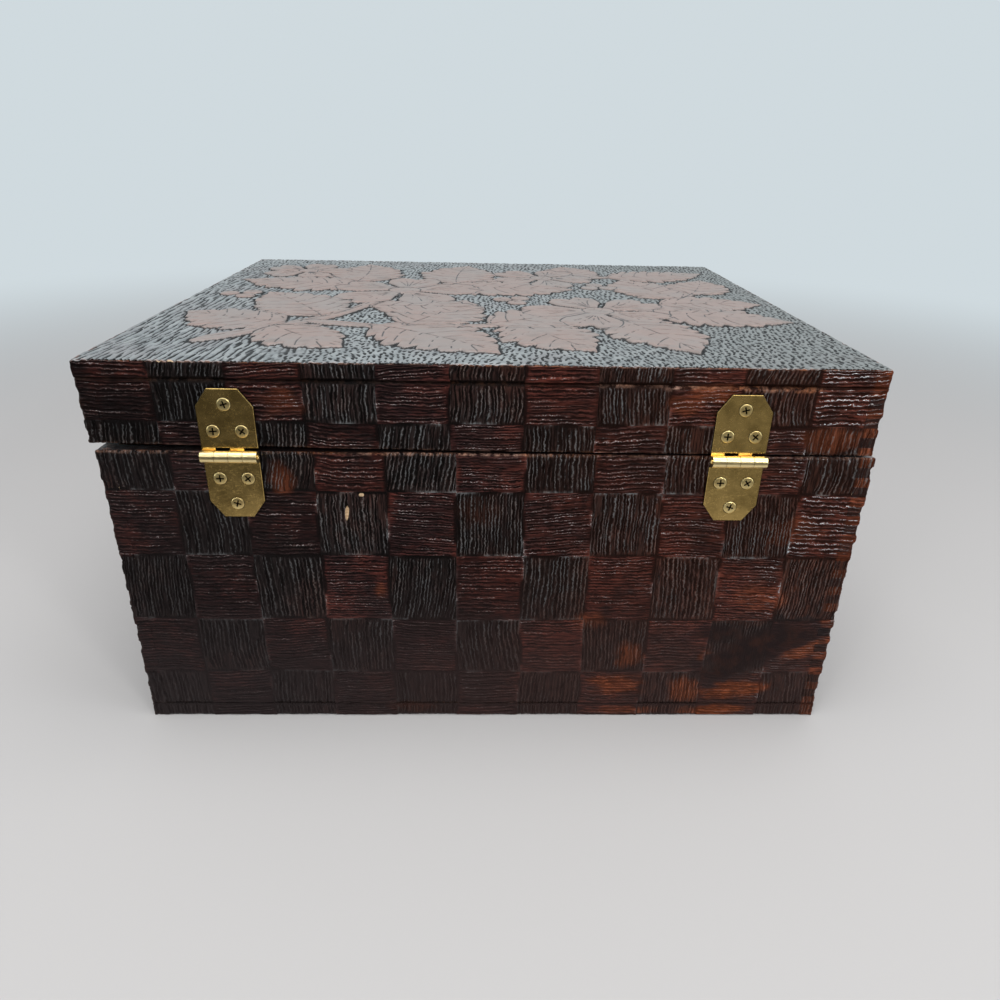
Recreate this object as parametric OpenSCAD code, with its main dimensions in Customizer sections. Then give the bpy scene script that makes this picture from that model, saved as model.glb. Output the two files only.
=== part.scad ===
// A square-cornered wooden box with a hinged lid, made of thin boards with finger-jointed corners.
// The body's four walls stand on a bottom board, and the lid's four walls carry a flat top board.
// Two flat brass hinges lie on the outer face of the back walls, each held by six countersunk screws.
// All sizes are in millimetres. X runs along the hinges, Y from the hinge side to the front, Z up.
// The origin is the centre of the bottom board's underside.

/* [Box] */
// Width over the side walls
box_w = 288; // [220:1:400]
// Depth over the front and back walls
box_d = 248; // [160:1:340]
// Height of the body's upper edge above the table
body_h = 123.1; // [70:0.1:200]
// Height from the body's upper edge to the raised design on top of the closed lid
lid_h = 34.3; // [30:0.1:80]

/* [Boards] */
// Thickness of the eight wall boards
wall_t = 6.4; // [6:0.1:12]
// Thickness of the bottom board
bottom_t = 6.6; // [4:0.1:12]
// Thickness of the top board, with its raised design
top_t = 7.4; // [4:0.1:10]
// Small bevel round the top board's upper edge
top_bevel = 0.6; // [0.2:0.1:2]
// Width of one finger of the corner joints, as near as whole fingers allow
finger_w = 4; // [3:0.5:12]
// Glue line between the fingers of two walls
glue_gap = 0.05; // [0.02:0.01:0.1]

/* [Top carving] */
// Depth of the carved ground below the raised flowers, leaves and stems
carve_depth = 1; // [0.4:0.1:2]

/* [Lid] */
// Sideways offset of the lid and hinges from the body's middle
lid_shift = -1.7; // [-3:0.1:3]
// Opening of the seam at the back wall's left end
gap_left = 2.8; // [0.3:0.1:3]
// Opening of the seam at the middle of the back wall
gap_middle = 1; // [0.3:0.1:3]
// Opening of the seam at the back wall's right end
gap_right = 0.8; // [0.3:0.1:3]
// Opening of the seam along the front wall
gap_front = 0.3; // [0.2:0.1:0.3]

/* [Hinges] */
// Distance of a hinge's middle from the lid's end
hinge_inset = 51.3; // [16:0.1:90]
// Width of a hinge along its pin
hinge_w = 20.3; // [18:0.1:28]
// Length of a leaf from the pin's axis to its end
hinge_len = 25; // [24:0.1:28]
// Width of a leaf at its end, between the clipped corners
hinge_tip_w = 10.8; // [6:0.1:16]
// Length of the clipped corners along the leaf
hinge_clip = 6.6; // [3:0.1:8]
// Thickness of a leaf
leaf_t = 0.9; // [0.7:0.05:1.2]
// Bevel along a leaf's outer edges
leaf_bevel = 0.2; // [0.05:0.05:0.3]
// Distance of the pin's axis below the body's upper edge
axis_drop = 0.8; // [0:0.1:1.5]
// Number of knuckles, counted over both leaves
knuckles = 4; // [2:2:6]
// Outer radius of the knuckles
barrel_r = 2.2; // [1.8:0.05:2.8]
// Clearance between the knuckles and the wood
barrel_clear = 0.3; // [0.3:0.05:0.5]
// Gap between neighbouring knuckles
knuckle_gap = 0.15; // [0.1:0.05:0.4]
// Clearance between a knuckle and the edge of the other leaf
slot_clear = 0.7; // [0.4:0.1:1]
// Radius of the hinge pin
pin_r = 0.9; // [0.7:0.05:1.1]
// Running clearance round the hinge pin
pin_clear = 0.05; // [0.03:0.01:0.1]
// Length of the pin that stands out of each end of the barrel
pin_over = 0.5; // [0.2:0.1:1]

/* [Screws] */
// Distance of the paired screws from the pin's axis
pair_reach = 9.2; // [8:0.1:11]
// Distance between the paired screws
pair_spacing = 10.2; // [8:0.1:11]
// Distance of the single screw from the pin's axis
single_reach = 19.3; // [17:0.1:20]
// Diameter of the screw heads
head_d = 5; // [4:0.1:6]
// Height of the screw heads above the leaf
head_rise = 0.35; // [0.2:0.05:0.5]
// Diameter of the screw shanks
shank_d = 2.2; // [1.6:0.1:2.6]
// Depth of the screws in the wood
screw_depth = 5; // [4:0.1:5.4]
// Clearance round the screw heads in their countersinks
head_clear = 0.1; // [0.05:0.01:0.2]
// Clearance round the screw shanks in the wood
shank_clear = 0.03; // [0.02:0.01:0.1]
// Length of the cross recess across a screw head
recess_len = 2.8; // [2:0.1:3]
// Width of the cross recess
recess_w = 0.6; // [0.4:0.1:0.8]
// Depth of the cross recess
recess_depth = 0.9; // [0.5:0.1:1]
// Turn of each screw against the one before it, in degrees
screw_turn = 37; // [0:1:90]

/* [Brads] */
// Number of brads along the front wall, and along the back wall
brads_long = 4; // [2:1:8]
// Number of brads along each side wall
brads_short = 3; // [2:1:6]
// Distance of the outermost brads from the box's corners
brad_inset = 32; // [20:1:60]
// Diameter of the brads
brad_d = 1.3; // [1:0.1:2]
// Diameter of the brad heads
brad_head_d = 2.4; // [2.2:0.1:3.4]
// Thickness of the brad heads
brad_head_t = 0.6; // [0.4:0.1:1]
// Length of the brads
brad_len = 19; // [16:0.5:30]
// Clearance round the brads
brad_clear = 0.03; // [0.02:0.01:0.1]

/* [Hidden] */
$fn = 64;
box_h = body_h + lid_h;
back_y = -box_d / 2;
front_y = box_d / 2;
lid_top = box_h - top_t;
ground = box_h - carve_depth;
lid_base = body_h + gap_front;
axis_z = body_h - axis_drop;
axis_out = barrel_clear + barrel_r;
slot_depth = barrel_r + slot_clear;
head_r = head_d / 2;
shank_r = shank_d / 2;
// Depth of a head's cone below the leaf's outer face, at 45 degrees
cone_h = head_r - shank_r;
// Length of the pointed end of the screws and brads
tip_len = 1.2;
// How far a cutting tool runs past the face that it leaves
past = 1;
wood_dark = "#2e1712";
wood_top = "#5d534d";
wood_bare = "#c8a878";
brass = "#c9a43a";
brass_pin = "#d39a34";
steel = "#9a9a98";
LEFT = -1;
RIGHT = 1;

// The raised design on the top board, in mm from its middle, drawn for a board of this width and depth
design_size = [288, 248];
// Stems: points along the middle, width at the start, width at the end
stems = [
    [[[-112, -96], [-88, -70], [-64, -40], [-44, 16]], 8, 5],
    [[[-78, -58], [-34, -66], [12, -58], [52, -30], [90, -6], [114, 30]], 6.5, 3],
    [[[-40, 16], [-14, 44], [34, 64], [82, 74], [106, 88]], 6, 3],
    [[[-44, 22], [-72, 44], [-102, 76]], 5.5, 3.5]
];
// Leaves: X and Y of the stalk, direction, length, width, curvature of the midrib
leaves = [
    [-84, -62, 166, 50, 36, -0.006], [-72, -48, 116, 64, 42, 0.004], [-88, -68, -52, 46, 32, 0.005],
    [-48, -64, -30, 66, 40, -0.005], [-34, -64, 60, 60, 40, 0.004], [14, -56, -68, 52, 38, 0.005],
    [72, -18, -34, 68, 42, 0.005], [84, -10, 12, 50, 36, -0.005], [56, -40, -62, 66, 38, -0.004],
    [98, 6, 116, 58, 38, -0.004], [108, 20, 62, 46, 32, 0.006], [-22, 34, -14, 66, 40, 0.005],
    [-16, 42, 94, 62, 40, -0.005], [70, 72, 6, 62, 36, 0.006], [52, 66, 92, 42, 34, 0.003],
    [-60, 34, 182, 70, 40, -0.005], [-70, 42, 82, 62, 38, 0.005], [-54, -24, 4, 50, 34, -0.004],
    [0, -60, 30, 58, 36, 0.004]
];
// Flowers: X and Y of the middle, turn, radius
blossoms = [[-42, 18, 12, 39], [52, -28, 40, 35], [32, 64, 66, 30], [-104, 78, 5, 26]];
// Berries: X and Y of the middle, radius
berries = [
    [8, -2, 4.6], [15, -10, 4.6], [17, 1, 4.6], [-127, 3, 4.6], [-118, -3, 4.6], [-117, 7, 4.6],
    [60, 44, 4.6], [66, 35, 4.6], [56, 34, 4.6]
];
// Outline of one petal along +X, as shares of the flower's radius
petal = [
    [0.1, -0.04], [0.54, -0.34], [0.79, -0.35], [0.96, -0.2],
    [0.96, 0.2], [0.79, 0.35], [0.54, 0.34], [0.1, 0.04]
];
// Where a leaf's outline has its corners, as shares of its length
leaf_stops = [0.05, 0.25, 0.5, 0.75, 0.93];

// Odd number of fingers that comes nearest to finger_w over a height
function finger_count(height) = 2 * max(1, round((height / finger_w - 1) / 2)) + 1;

// Corner points up one end of a wall, where every second zone is a finger that reaches the outer face
function finger_steps(outer, inner, low, high, fingers_even) =
    let (n = finger_count(high - low), half_gap = glue_gap / 2)
    [
        for (k = [1 : n - 1])
            let (z = low + k * (high - low) / n, ends_finger = (k % 2 == 1) == fingers_even)
            each ends_finger
                ? [[outer, z - half_gap], [inner, z - half_gap]]
                : [[inner, z + half_gap], [outer, z + half_gap]]
    ];

// The same points down the other end of the wall
function mirrored(points) = [for (i = [len(points) - 1 : -1 : 0]) [-points[i].x, points[i].y]];

// Where the lowest and highest zones of a wall end, which are fingers on the front and back walls
function wall_end(half, fingers_even) = fingers_even ? half : half - wall_t - glue_gap;

// A wall's outline from its lower edge, given from left to right, and its fingers
function wall_outline(half, low, high, fingers_even, lower_edge) =
    let (
        inner = half - wall_t - glue_gap,
        end = wall_end(half, fingers_even),
        steps = finger_steps(half, inner, low, high, fingers_even)
    )
    concat(lower_edge, steps, [[end, high], [-end, high]], mirrored(steps));

// Height of the lid's lower edge along a side wall, which closes from the back to the front
function side_edge(gap_back, y) = body_h + gap_back + (gap_front - gap_back) * (y - back_y) / box_d;

// Places of the brads' axes under the walls
function spread(half, n) = [for (i = [0 : n - 1]) -half + 2 * half * i / (n - 1)];
long_brads = [
    for (x = spread(box_w / 2 - brad_inset, brads_long))
        for (y = [back_y + wall_t / 2, front_y - wall_t / 2]) [x, y]
];
short_brads = [
    for (y = spread(box_d / 2 - brad_inset, brads_short))
        for (x = [-box_w / 2 + wall_t / 2, box_w / 2 - wall_t / 2]) [x, y]
];

// Screw places on a leaf: along the pin, and away from its axis
screw_places = [
    [-pair_spacing / 2, pair_reach], [pair_spacing / 2, pair_reach], [0, single_reach]
];

// A wall across the box, with its outer face at the given Y
module cross_wall(low, high, lower_edge) {
    rotate([90, 0, 0])
        linear_extrude(wall_t)
            polygon(wall_outline(box_w / 2, low, high, true, lower_edge));
}

// A wall along the box's depth
module side_wall(low, high, lower_edge) {
    rotate([90, 0, 90])
        linear_extrude(wall_t)
            polygon(wall_outline(box_d / 2, low, high, false, lower_edge));
}

// Straight lower edge of a wall of the body
function level_edge(half, fingers_even) =
    let (end = wall_end(half, fingers_even)) [[-end, bottom_t], [end, bottom_t]];

// Sloping lower edge of a side wall of the lid
function sloping_edge(gap_back) =
    let (end = wall_end(box_d / 2, false))
    [[-end, side_edge(gap_back, -end)], [end, side_edge(gap_back, end)]];

// Puts its children at a hinge, with the pin's axis along X and the wood's face at y = 0.
// Up is away from the axis, on the lid's side or on the body's side.
module at_hinge(side, on_lid) {
    translate([lid_shift + side * (box_w / 2 - hinge_inset), back_y, axis_z])
        mirror([0, 0, on_lid ? 0 : 1])
            children();
}

// Puts its children at each screw of a leaf, along +Z out of the wood
module at_screws() {
    for (i = [0 : len(screw_places) - 1])
        translate([screw_places[i].x, 0, screw_places[i].y])
            rotate([90, screw_turn * i, 0])
                children();
}

// The space that a screw takes in the wood, with its clearance
module screw_hole() {
    hole_r = shank_r + shank_clear;
    translate([0, 0, -screw_depth - shank_clear])
        cylinder(h = screw_depth + past, r = hole_r);
    translate([0, 0, leaf_t - cone_h])
        cylinder(h = cone_h + past, r1 = hole_r, r2 = hole_r + cone_h + past);
}

// A countersunk screw with a slightly domed head and a cross recess
module screw() {
    difference() {
        rotate_extrude()
            polygon([
                [0, -screw_depth], [shank_r, tip_len - screw_depth], [shank_r, leaf_t - cone_h],
                [head_r, leaf_t], [head_r * 0.85, leaf_t + head_rise * 0.7],
                [head_r * 0.5, leaf_t + head_rise * 0.95], [0, leaf_t + head_rise]
            ]);
        for (turn = [0, 90])
            rotate([0, 0, turn])
                translate([-recess_len / 2, -recess_w / 2, leaf_t + head_rise - recess_depth])
                    cube([recess_len, recess_w, recess_depth + past]);
    }
}

// A square bar that cuts a 45 degree bevel along one edge of a leaf's outer face
module bevel_bar(from, to) {
    length = norm(to - from) + 2 * past;
    bar = leaf_bevel * sqrt(2);
    middle = (from + to) / 2;
    translate([middle.x, -leaf_t, middle.y])
        rotate([0, -atan2(to.y - from.y, to.x - from.x), 0])
            rotate([45, 0, 0])
                cube([length, bar, bar], center = true);
}

// The flat of a leaf, with clipped corners, bevelled edges and countersunk holes
module leaf_plate() {
    corners = [
        [hinge_w / 2, slot_depth], [hinge_w / 2, hinge_len - hinge_clip], [hinge_tip_w / 2, hinge_len],
        [-hinge_tip_w / 2, hinge_len], [-hinge_w / 2, hinge_len - hinge_clip], [-hinge_w / 2, slot_depth]
    ];
    difference() {
        rotate([90, 0, 0])
            linear_extrude(leaf_t)
                polygon(corners);
        for (i = [0 : len(corners) - 2])
            bevel_bar(corners[i], corners[i + 1]);
        at_screws()
            translate([0, 0, leaf_t - cone_h])
                cylinder(h = cone_h + past, r1 = shank_r + head_clear, r2 = head_r + head_clear + past);
    }
}

// The knuckles of one leaf: every second one, from the given start
module leaf_knuckles(first) {
    pitch = hinge_w / knuckles;
    length = pitch - knuckle_gap;
    for (i = [first : 2 : knuckles - 1])
        translate([-hinge_w / 2 + i * pitch + knuckle_gap / 2, 0, 0])
            difference() {
                union() {
                    translate([0, -axis_out, 0])
                        rotate([0, 90, 0])
                            cylinder(h = length, r = barrel_r);
                    translate([0, -leaf_t, 0])
                        cube([length, leaf_t - barrel_clear, slot_depth]);
                }
                translate([-past, -axis_out, 0])
                    rotate([0, 90, 0])
                        cylinder(h = length + 2 * past, r = pin_r + pin_clear);
            }
}

// One leaf of a hinge. Seen from outside, the lid's leaf has the first knuckle on the left.
module leaf(side, on_lid) {
    color(brass)
        at_hinge(side, on_lid)
            union() {
                leaf_plate();
                leaf_knuckles(on_lid ? 0 : 1);
            }
}

// The hinge pin, with small bevels at its ends
module hinge_pin(side) {
    half = hinge_w / 2 + pin_over;
    bevel = pin_r / 3;
    color(brass_pin)
        at_hinge(side, true)
            translate([0, -axis_out, 0])
                rotate([0, 90, 0])
                    rotate_extrude()
                        polygon([
                            [0, -half], [pin_r - bevel, -half], [pin_r, bevel - half],
                            [pin_r, half - bevel], [pin_r - bevel, half], [0, half]
                        ]);
}

// The three screws of one leaf
module leaf_screws(side, on_lid) {
    color(brass)
        at_hinge(side, on_lid)
            at_screws()
                screw();
}

// The screw holes of both hinges in a back wall
module hinge_screw_holes(on_lid) {
    for (side = [LEFT, RIGHT])
        at_hinge(side, on_lid)
            at_screws()
                screw_hole();
}

// The holes that the brads leave in the bottom board and the walls
module brad_holes() {
    for (place = concat(long_brads, short_brads))
        translate(place) {
            translate([0, 0, -past])
                cylinder(h = past + brad_len + brad_clear, r = brad_d / 2 + brad_clear);
            translate([0, 0, -past])
                cylinder(h = past + brad_head_t + brad_clear, r = brad_head_d / 2 + brad_clear);
        }
}

module bottom_brads() {
    color(steel)
        for (place = concat(long_brads, short_brads))
            translate(place)
                rotate_extrude()
                    polygon([
                        [0, 0], [brad_head_d / 2, 0], [brad_head_d / 2, brad_head_t],
                        [brad_d / 2, brad_head_t], [brad_d / 2, brad_len - tip_len], [0, brad_len]
                    ]);
}

module bottom_panel() {
    color(wood_bare)
        difference() {
            translate([-box_w / 2, back_y, 0])
                cube([box_w, box_d, bottom_t]);
            brad_holes();
        }
}

module body_back_wall() {
    color(wood_dark)
        difference() {
            translate([0, back_y + wall_t, 0])
                cross_wall(bottom_t, body_h, level_edge(box_w / 2, true));
            hinge_screw_holes(false);
            brad_holes();
        }
}

module body_front_wall() {
    color(wood_dark)
        difference() {
            translate([0, front_y, 0])
                cross_wall(bottom_t, body_h, level_edge(box_w / 2, true));
            brad_holes();
        }
}

module body_side_wall(left_face) {
    color(wood_dark)
        difference() {
            translate([left_face, 0, 0])
                side_wall(bottom_t, body_h, level_edge(box_d / 2, false));
            brad_holes();
        }
}

module body_left_wall() {
    body_side_wall(-box_w / 2);
}

module body_right_wall() {
    body_side_wall(box_w / 2 - wall_t);
}

// Points of the design turned, moved to their place and fitted to this board
function placed(points, angle, place) = [
    for (p = points)
        [
            (p.x * cos(angle) - p.y * sin(angle) + place.x) * box_w / design_size.x,
            (p.x * sin(angle) + p.y * cos(angle) + place.y) * box_d / design_size.y
        ]
];

// A point beside a leaf's midrib, which is an arc
function beside(along, out, bend) =
    let (turn = bend * along * 180 / PI)
    [sin(turn) / bend - out * sin(turn), (1 - cos(turn)) / bend + out * cos(turn)];

// Outline of a leaf, without its teeth
function leaf_outline(leaf) =
    let (
        length = leaf[3],
        half = [for (t = leaf_stops) leaf[4] / 2 * pow(sin(180 * pow(t, 0.86)), 0.75) + 0.6],
        last = len(leaf_stops) - 1,
        points = concat(
            [for (i = [0 : last]) beside(leaf_stops[i] * length, half[i], leaf[5])],
            [beside(length * 1.05, 0, leaf[5])],
            [for (i = [last : -1 : 0]) beside(leaf_stops[i] * length, -half[i], leaf[5])]
        )
    )
    placed(points, leaf[2], [leaf[0], leaf[1]]);

// Outline of a stem, with straight pieces between its points
function stem_outline(stem) =
    let (
        middle = stem[0],
        last = len(middle) - 1,
        side = [
            for (i = [0 : last])
                let (way = middle[min(i + 1, last)] - middle[max(i - 1, 0)])
                (stem[1] + (stem[2] - stem[1]) * i / last) / 2 * [-way.y, way.x] / norm(way)
        ]
    )
    placed(
        concat([for (i = [0 : last]) middle[i] + side[i]], [for (i = [last : -1 : 0]) middle[i] - side[i]]),
        0, [0, 0]
    );

// The flowers, leaves, stems and berries, seen from above
module raised_design() {
    for (stem = stems)
        polygon(stem_outline(stem));
    for (leaf = leaves)
        polygon(leaf_outline(leaf));
    for (berry = berries)
        translate(placed([[0, 0]], 0, [berry[0], berry[1]])[0])
            circle(r = berry[2]);
    for (flower = blossoms) {
        place = [flower[0], flower[1]];
        for (k = [0 : 4])
            polygon(placed(flower[3] * petal, flower[2] + 72 * k, place));
        translate(placed([[0, 0]], 0, place)[0])
            circle(r = 0.2 * flower[3]);
    }
}

// Outline across the top board's ground, with its upper edges bevelled
function top_outline(half) = [
    [-half, lid_top], [half, lid_top], [half, ground - top_bevel],
    [half - top_bevel, ground], [top_bevel - half, ground], [-half, ground - top_bevel]
];

module top_panel() {
    color(wood_top)
        translate([lid_shift, 0, 0]) {
            intersection() {
                translate([0, front_y, 0])
                    rotate([90, 0, 0])
                        linear_extrude(box_d)
                            polygon(top_outline(box_w / 2));
                translate([-box_w / 2, 0, 0])
                    rotate([90, 0, 90])
                        linear_extrude(box_w)
                            polygon(top_outline(box_d / 2));
            }
            translate([0, 0, lid_top + top_t / 2])
                linear_extrude(top_t / 2)
                    raised_design();
        }
}

module lid_back_wall() {
    half = box_w / 2;
    edge = [[-half, body_h + gap_left], [0, body_h + gap_middle], [half, body_h + gap_right]];
    color(wood_dark)
        difference() {
            translate([lid_shift, back_y + wall_t, 0])
                cross_wall(lid_base, lid_top, edge);
            hinge_screw_holes(true);
        }
}

module lid_front_wall() {
    half = box_w / 2;
    color(wood_dark)
        translate([lid_shift, front_y, 0])
            cross_wall(lid_base, lid_top, [[-half, lid_base], [half, lid_base]]);
}

module lid_left_wall() {
    color(wood_dark)
        translate([lid_shift - box_w / 2, 0, 0])
            side_wall(lid_base, lid_top, sloping_edge(gap_left));
}

module lid_right_wall() {
    color(wood_dark)
        translate([lid_shift + box_w / 2 - wall_t, 0, 0])
            side_wall(lid_base, lid_top, sloping_edge(gap_right));
}

bottom_panel();
body_back_wall();
body_front_wall();
body_left_wall();
body_right_wall();
bottom_brads();
top_panel();
lid_back_wall();
lid_front_wall();
lid_left_wall();
lid_right_wall();
leaf(LEFT, true);  // left_hinge_lid_leaf
leaf(LEFT, false);  // left_hinge_body_leaf
hinge_pin(LEFT);  // left_hinge_pin
leaf_screws(LEFT, true);  // left_hinge_lid_screws
leaf_screws(LEFT, false);  // left_hinge_body_screws
leaf(RIGHT, true);  // right_hinge_lid_leaf
leaf(RIGHT, false);  // right_hinge_body_leaf
hinge_pin(RIGHT);  // right_hinge_pin
leaf_screws(RIGHT, true);  // right_hinge_lid_screws
leaf_screws(RIGHT, false);  // right_hinge_body_screws
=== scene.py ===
"""Pyrography box: carved boards, brass hinges, camera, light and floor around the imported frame."""
import math

import bpy
import numpy as np
from mathutils import Matrix, Vector


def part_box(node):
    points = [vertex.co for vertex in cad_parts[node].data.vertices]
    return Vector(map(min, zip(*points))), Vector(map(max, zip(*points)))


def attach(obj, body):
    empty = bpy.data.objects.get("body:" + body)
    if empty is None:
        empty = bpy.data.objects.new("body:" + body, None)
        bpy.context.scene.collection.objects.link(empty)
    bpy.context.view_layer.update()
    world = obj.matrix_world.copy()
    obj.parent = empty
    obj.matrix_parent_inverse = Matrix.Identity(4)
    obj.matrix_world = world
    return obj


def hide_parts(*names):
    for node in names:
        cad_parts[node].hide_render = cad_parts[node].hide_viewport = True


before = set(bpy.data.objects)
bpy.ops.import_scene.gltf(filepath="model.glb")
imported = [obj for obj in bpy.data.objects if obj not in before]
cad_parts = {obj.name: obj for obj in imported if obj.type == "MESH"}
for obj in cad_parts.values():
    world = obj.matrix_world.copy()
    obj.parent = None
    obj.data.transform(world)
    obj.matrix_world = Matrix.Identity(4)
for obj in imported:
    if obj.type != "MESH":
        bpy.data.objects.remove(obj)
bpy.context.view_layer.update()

MM = 0.001


def extent(node):
    """Lowest and highest corner of a CAD node, in mm."""
    return [np.array(corner) * 1000 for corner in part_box(node)]


# Sizes in mm
TOP_LOW, TOP_HIGH = extent("top_panel")
BASE_LOW, BASE_HIGH = extent("bottom_panel")
WALL_LOW, WALL_HIGH = extent("body_back_wall")
WIDTH, DEPTH, BASE_T = BASE_HIGH - BASE_LOW
WALL_T = WALL_HIGH[1] - WALL_LOW[1]
BODY_TOP, LID_TOP, BOX_TOP = WALL_HIGH[2], TOP_LOW[2], TOP_HIGH[2]
LID_SHIFT = (TOP_LOW[0] + TOP_HIGH[0]) / 2
# The seam below the lid: at the hinge side's left end, middle and right end, and at the front
GAP_LEFT, GAP_MIDDLE, GAP_RIGHT, GAP_FRONT = 2.8, 1.0, 0.8, 0.3
LID_BASE = BODY_TOP + GAP_FRONT
# Zones up the walls, every other one with a finger, and the heights of the borders between the body's cells
BODY_ZONES, LID_ZONES = 29, 7
ROW_HEIGHTS = [24.1, 50.5, 80.1, 107.8]
# The four sides, starting with the hinge side: each one's length, columns of cells and first column
LENGTHS = [WIDTH, DEPTH, WIDTH, DEPTH]
COLUMNS = [11, 9, 11, 9]
FIRST_COLUMN = [0, 11, 20, 31]
# Distance of the lattice's lines, how many of them a face spans along its strokes, and how many a corner strip has
STEP, COARSE, STRIP = 0.312, 4, 21
# Distance over which two faces ease into the edge that they share, and that edge's radius
EASE, ARRIS = 2.5, 1.1
# Corner and zone of the finger that is broken off short, and by how much
BROKEN_FINGER, BROKEN_BY = (1, 27), 1.4
# How far the borders between the cells wander, and how deep the top's ground lies below its relief
WANDER, GROUND_SUNK = 0.85, 0.72
# Pockets of the brad heads: radius, depth, half the square round each, and the first one's distance from a corner
BRAD_HEAD_R, BRAD_SUNK, BRAD_SQUARE, BRAD_INSET = 1.23, 0.63, 1.5, 32
# How far the bottom board's bare upper face lies inside its edge
INNER_INSET = 3.5

# A point's marks are hollow, wear, warm (below 0 where charred) and bare
STAINED = (0.45, 0, 0, 0.1)
# A face's tag is its material slot, turn of the strokes, tone, and end grain or PLAIN
PLAIN = 2
RIM, NOTCH, INNER, UNDERSIDE = (0, 0, 0.5, PLAIN), (0, 0, 0.2, PLAIN), (1, 0, 0.5, PLAIN), (2, 0, 0.5, PLAIN)
TOP = (1, 0, 0.5, 0)


# Noise

def smooth(t):
    t = np.clip(t, 0, 1)
    return t * t * (3 - 2 * t)


def bell(x, width):
    return np.exp(-((x / width) ** 2))


def between(x, low, high, soft_low, soft_high):
    """1 between two places, with soft ends inside them."""
    return smooth((x - low) / soft_low) * smooth((high - x) / soft_high)


def noise(x, y, seed):
    """Smooth noise from -1 to 1 with one bump about every unit."""
    table = np.random.default_rng(seed).uniform(-1, 1, (64, 64))
    x, y = np.broadcast_arrays(np.asarray(x, float), np.asarray(y, float))
    i, j = np.floor(x).astype(int), np.floor(y).astype(int)
    a, b = smooth(x - i), smooth(y - j)
    i0, j0, i1, j1 = i % 64, j % 64, (i + 1) % 64, (j + 1) % 64
    return (
        table[i0, j0] * (1 - a) * (1 - b) + table[i1, j0] * a * (1 - b)
        + table[i0, j1] * (1 - a) * b + table[i1, j1] * a * b
    )


def layers(x, y, seed, count=3):
    """Noise with finer and fainter layers added."""
    return sum(noise(x * 2**k, y * 2**k, seed + k) / 2**k for k in range(count)) / 1.6


# The carved sides

def lines(stops, count):
    """Line places from stop to stop, and the number of the line at each stop."""
    places, marks = [stops[0]], [0]
    for a, b in zip(stops, stops[1:]):
        n = count(b - a)
        places += list(a + (b - a) * np.arange(1, n + 1) / n)
        marks.append(len(places) - 1)
    return np.array(places), marks


def upright_lines(low, high, zones):
    """Lines up a wall, through the zones of its fingers."""
    return lines(np.linspace(low, high, zones + 1), lambda gap: max(2, round(gap / STEP)))


def across_lines(plane):
    """Lines along a side: at its corner strips and its columns."""
    length, columns = LENGTHS[plane], COLUMNS[plane]
    stops = [0, WALL_T] + [length * c / columns for c in range(1, columns)] + [length - WALL_T, length]
    places, marks = lines(stops, lambda gap: STRIP if gap < WALL_T + 0.01 else 2 * round(gap / STEP / 2))
    return places, [marks[0]] + marks[2:-2] + [marks[-1]]


BODY_Z, BODY_MARKS = upright_lines(BASE_T, BODY_TOP, BODY_ZONES)
LID_Z, LID_MARKS = upright_lines(LID_BASE, LID_TOP, LID_ZONES)
BASE_Z, TOP_Z = np.linspace(0, BASE_T, 23), np.linspace(LID_TOP, BOX_TOP, 24)
ROWS = [0.0] + [float(BODY_Z[np.abs(BODY_Z - height).argmin()]) for height in ROW_HEIGHTS]
ROWS += [LID_BASE + 3 * (LID_TOP - LID_BASE) / LID_ZONES, LID_TOP, BOX_TOP]


def slices(z_lines, rows):
    """Row number and first and last line of each row of cells on a level."""
    return [(r, *(int(np.abs(z_lines - z).argmin()) for z in ROWS[r : r + 2])) for r in rows]


def is_upright(plane, column, row):
    """Whether a cell's strokes stand upright. The top board's edge repeats the row below it."""
    return (min(row, 5) + FIRST_COLUMN[plane] + column) % 2 == 0


def cell_tag(plane, column, row, tone, end=0):
    return (0, float(is_upright(plane, column, row)), tone, end)


def grooves(across, along, width, length, rng, pitch, deep, lean, bow):
    """Depth and reach of a cell's tool strokes, and their count, which is whole in a stroke's middle."""
    count = max(5, round(width / pitch))
    gap = width / count
    offset = along / length - 0.5

    def ripple(period):
        return np.sin(along * 2 * math.pi / period + rng.uniform(0, 6.3))

    common = rng.normal(0, lean) + (rng.choice((-0.1, 0.12)) if rng.random() < 0.18 else 0)
    bend = rng.normal(0, bow)
    hook = rng.normal(0, 0.6) * bell(along, 4.5) + rng.normal(0, 0.4) * bell(length - along, 4)
    middles, reaches = [], []
    for k in range(-1, count + 2):
        at = (k + rng.normal(0, 0.2)) * gap
        wave = 0
        for size, period in ((0.16, 13), (0.10, 5.5), (0.04, 2.6)):
            wave = wave + size * ripple(period * rng.uniform(0.8, 1.25))
        line = at + (common + rng.normal(0, 0.014)) * length * offset + bend * (4 * offset**2 - 0.5) + wave + hook
        if middles:
            line = np.maximum(line, middles[-1] + 0.35 * gap)
        middles.append(line)
        start, stop = rng.uniform(-1.5, 1.2), length + rng.uniform(-1.2, 1.5)
        if rng.random() < 0.14:
            stop = length * rng.uniform(0.45, 0.8)
        elif rng.random() < 0.1:
            start = length * rng.uniform(0.2, 0.5)
        ends = smooth(np.minimum(along - start, stop - along) / 2.2)
        force = 0.8 + 0.2 * ripple(rng.uniform(7, 16))
        reaches.append(rng.uniform(0.6, 1.1) * force * ends)
    number = np.zeros_like(across)
    for a, b in zip(middles, middles[1:]):
        number = number + np.clip((across - a) / (b - a), 0, 1)
    reach = np.take_along_axis(np.stack(reaches), np.round(number).astype(int)[None], 0)[0]
    near = np.abs(2 * (number - np.floor(number)) - 1)
    return deep * reach * (1 - (1 - near) ** 2.1), reach, number


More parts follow.
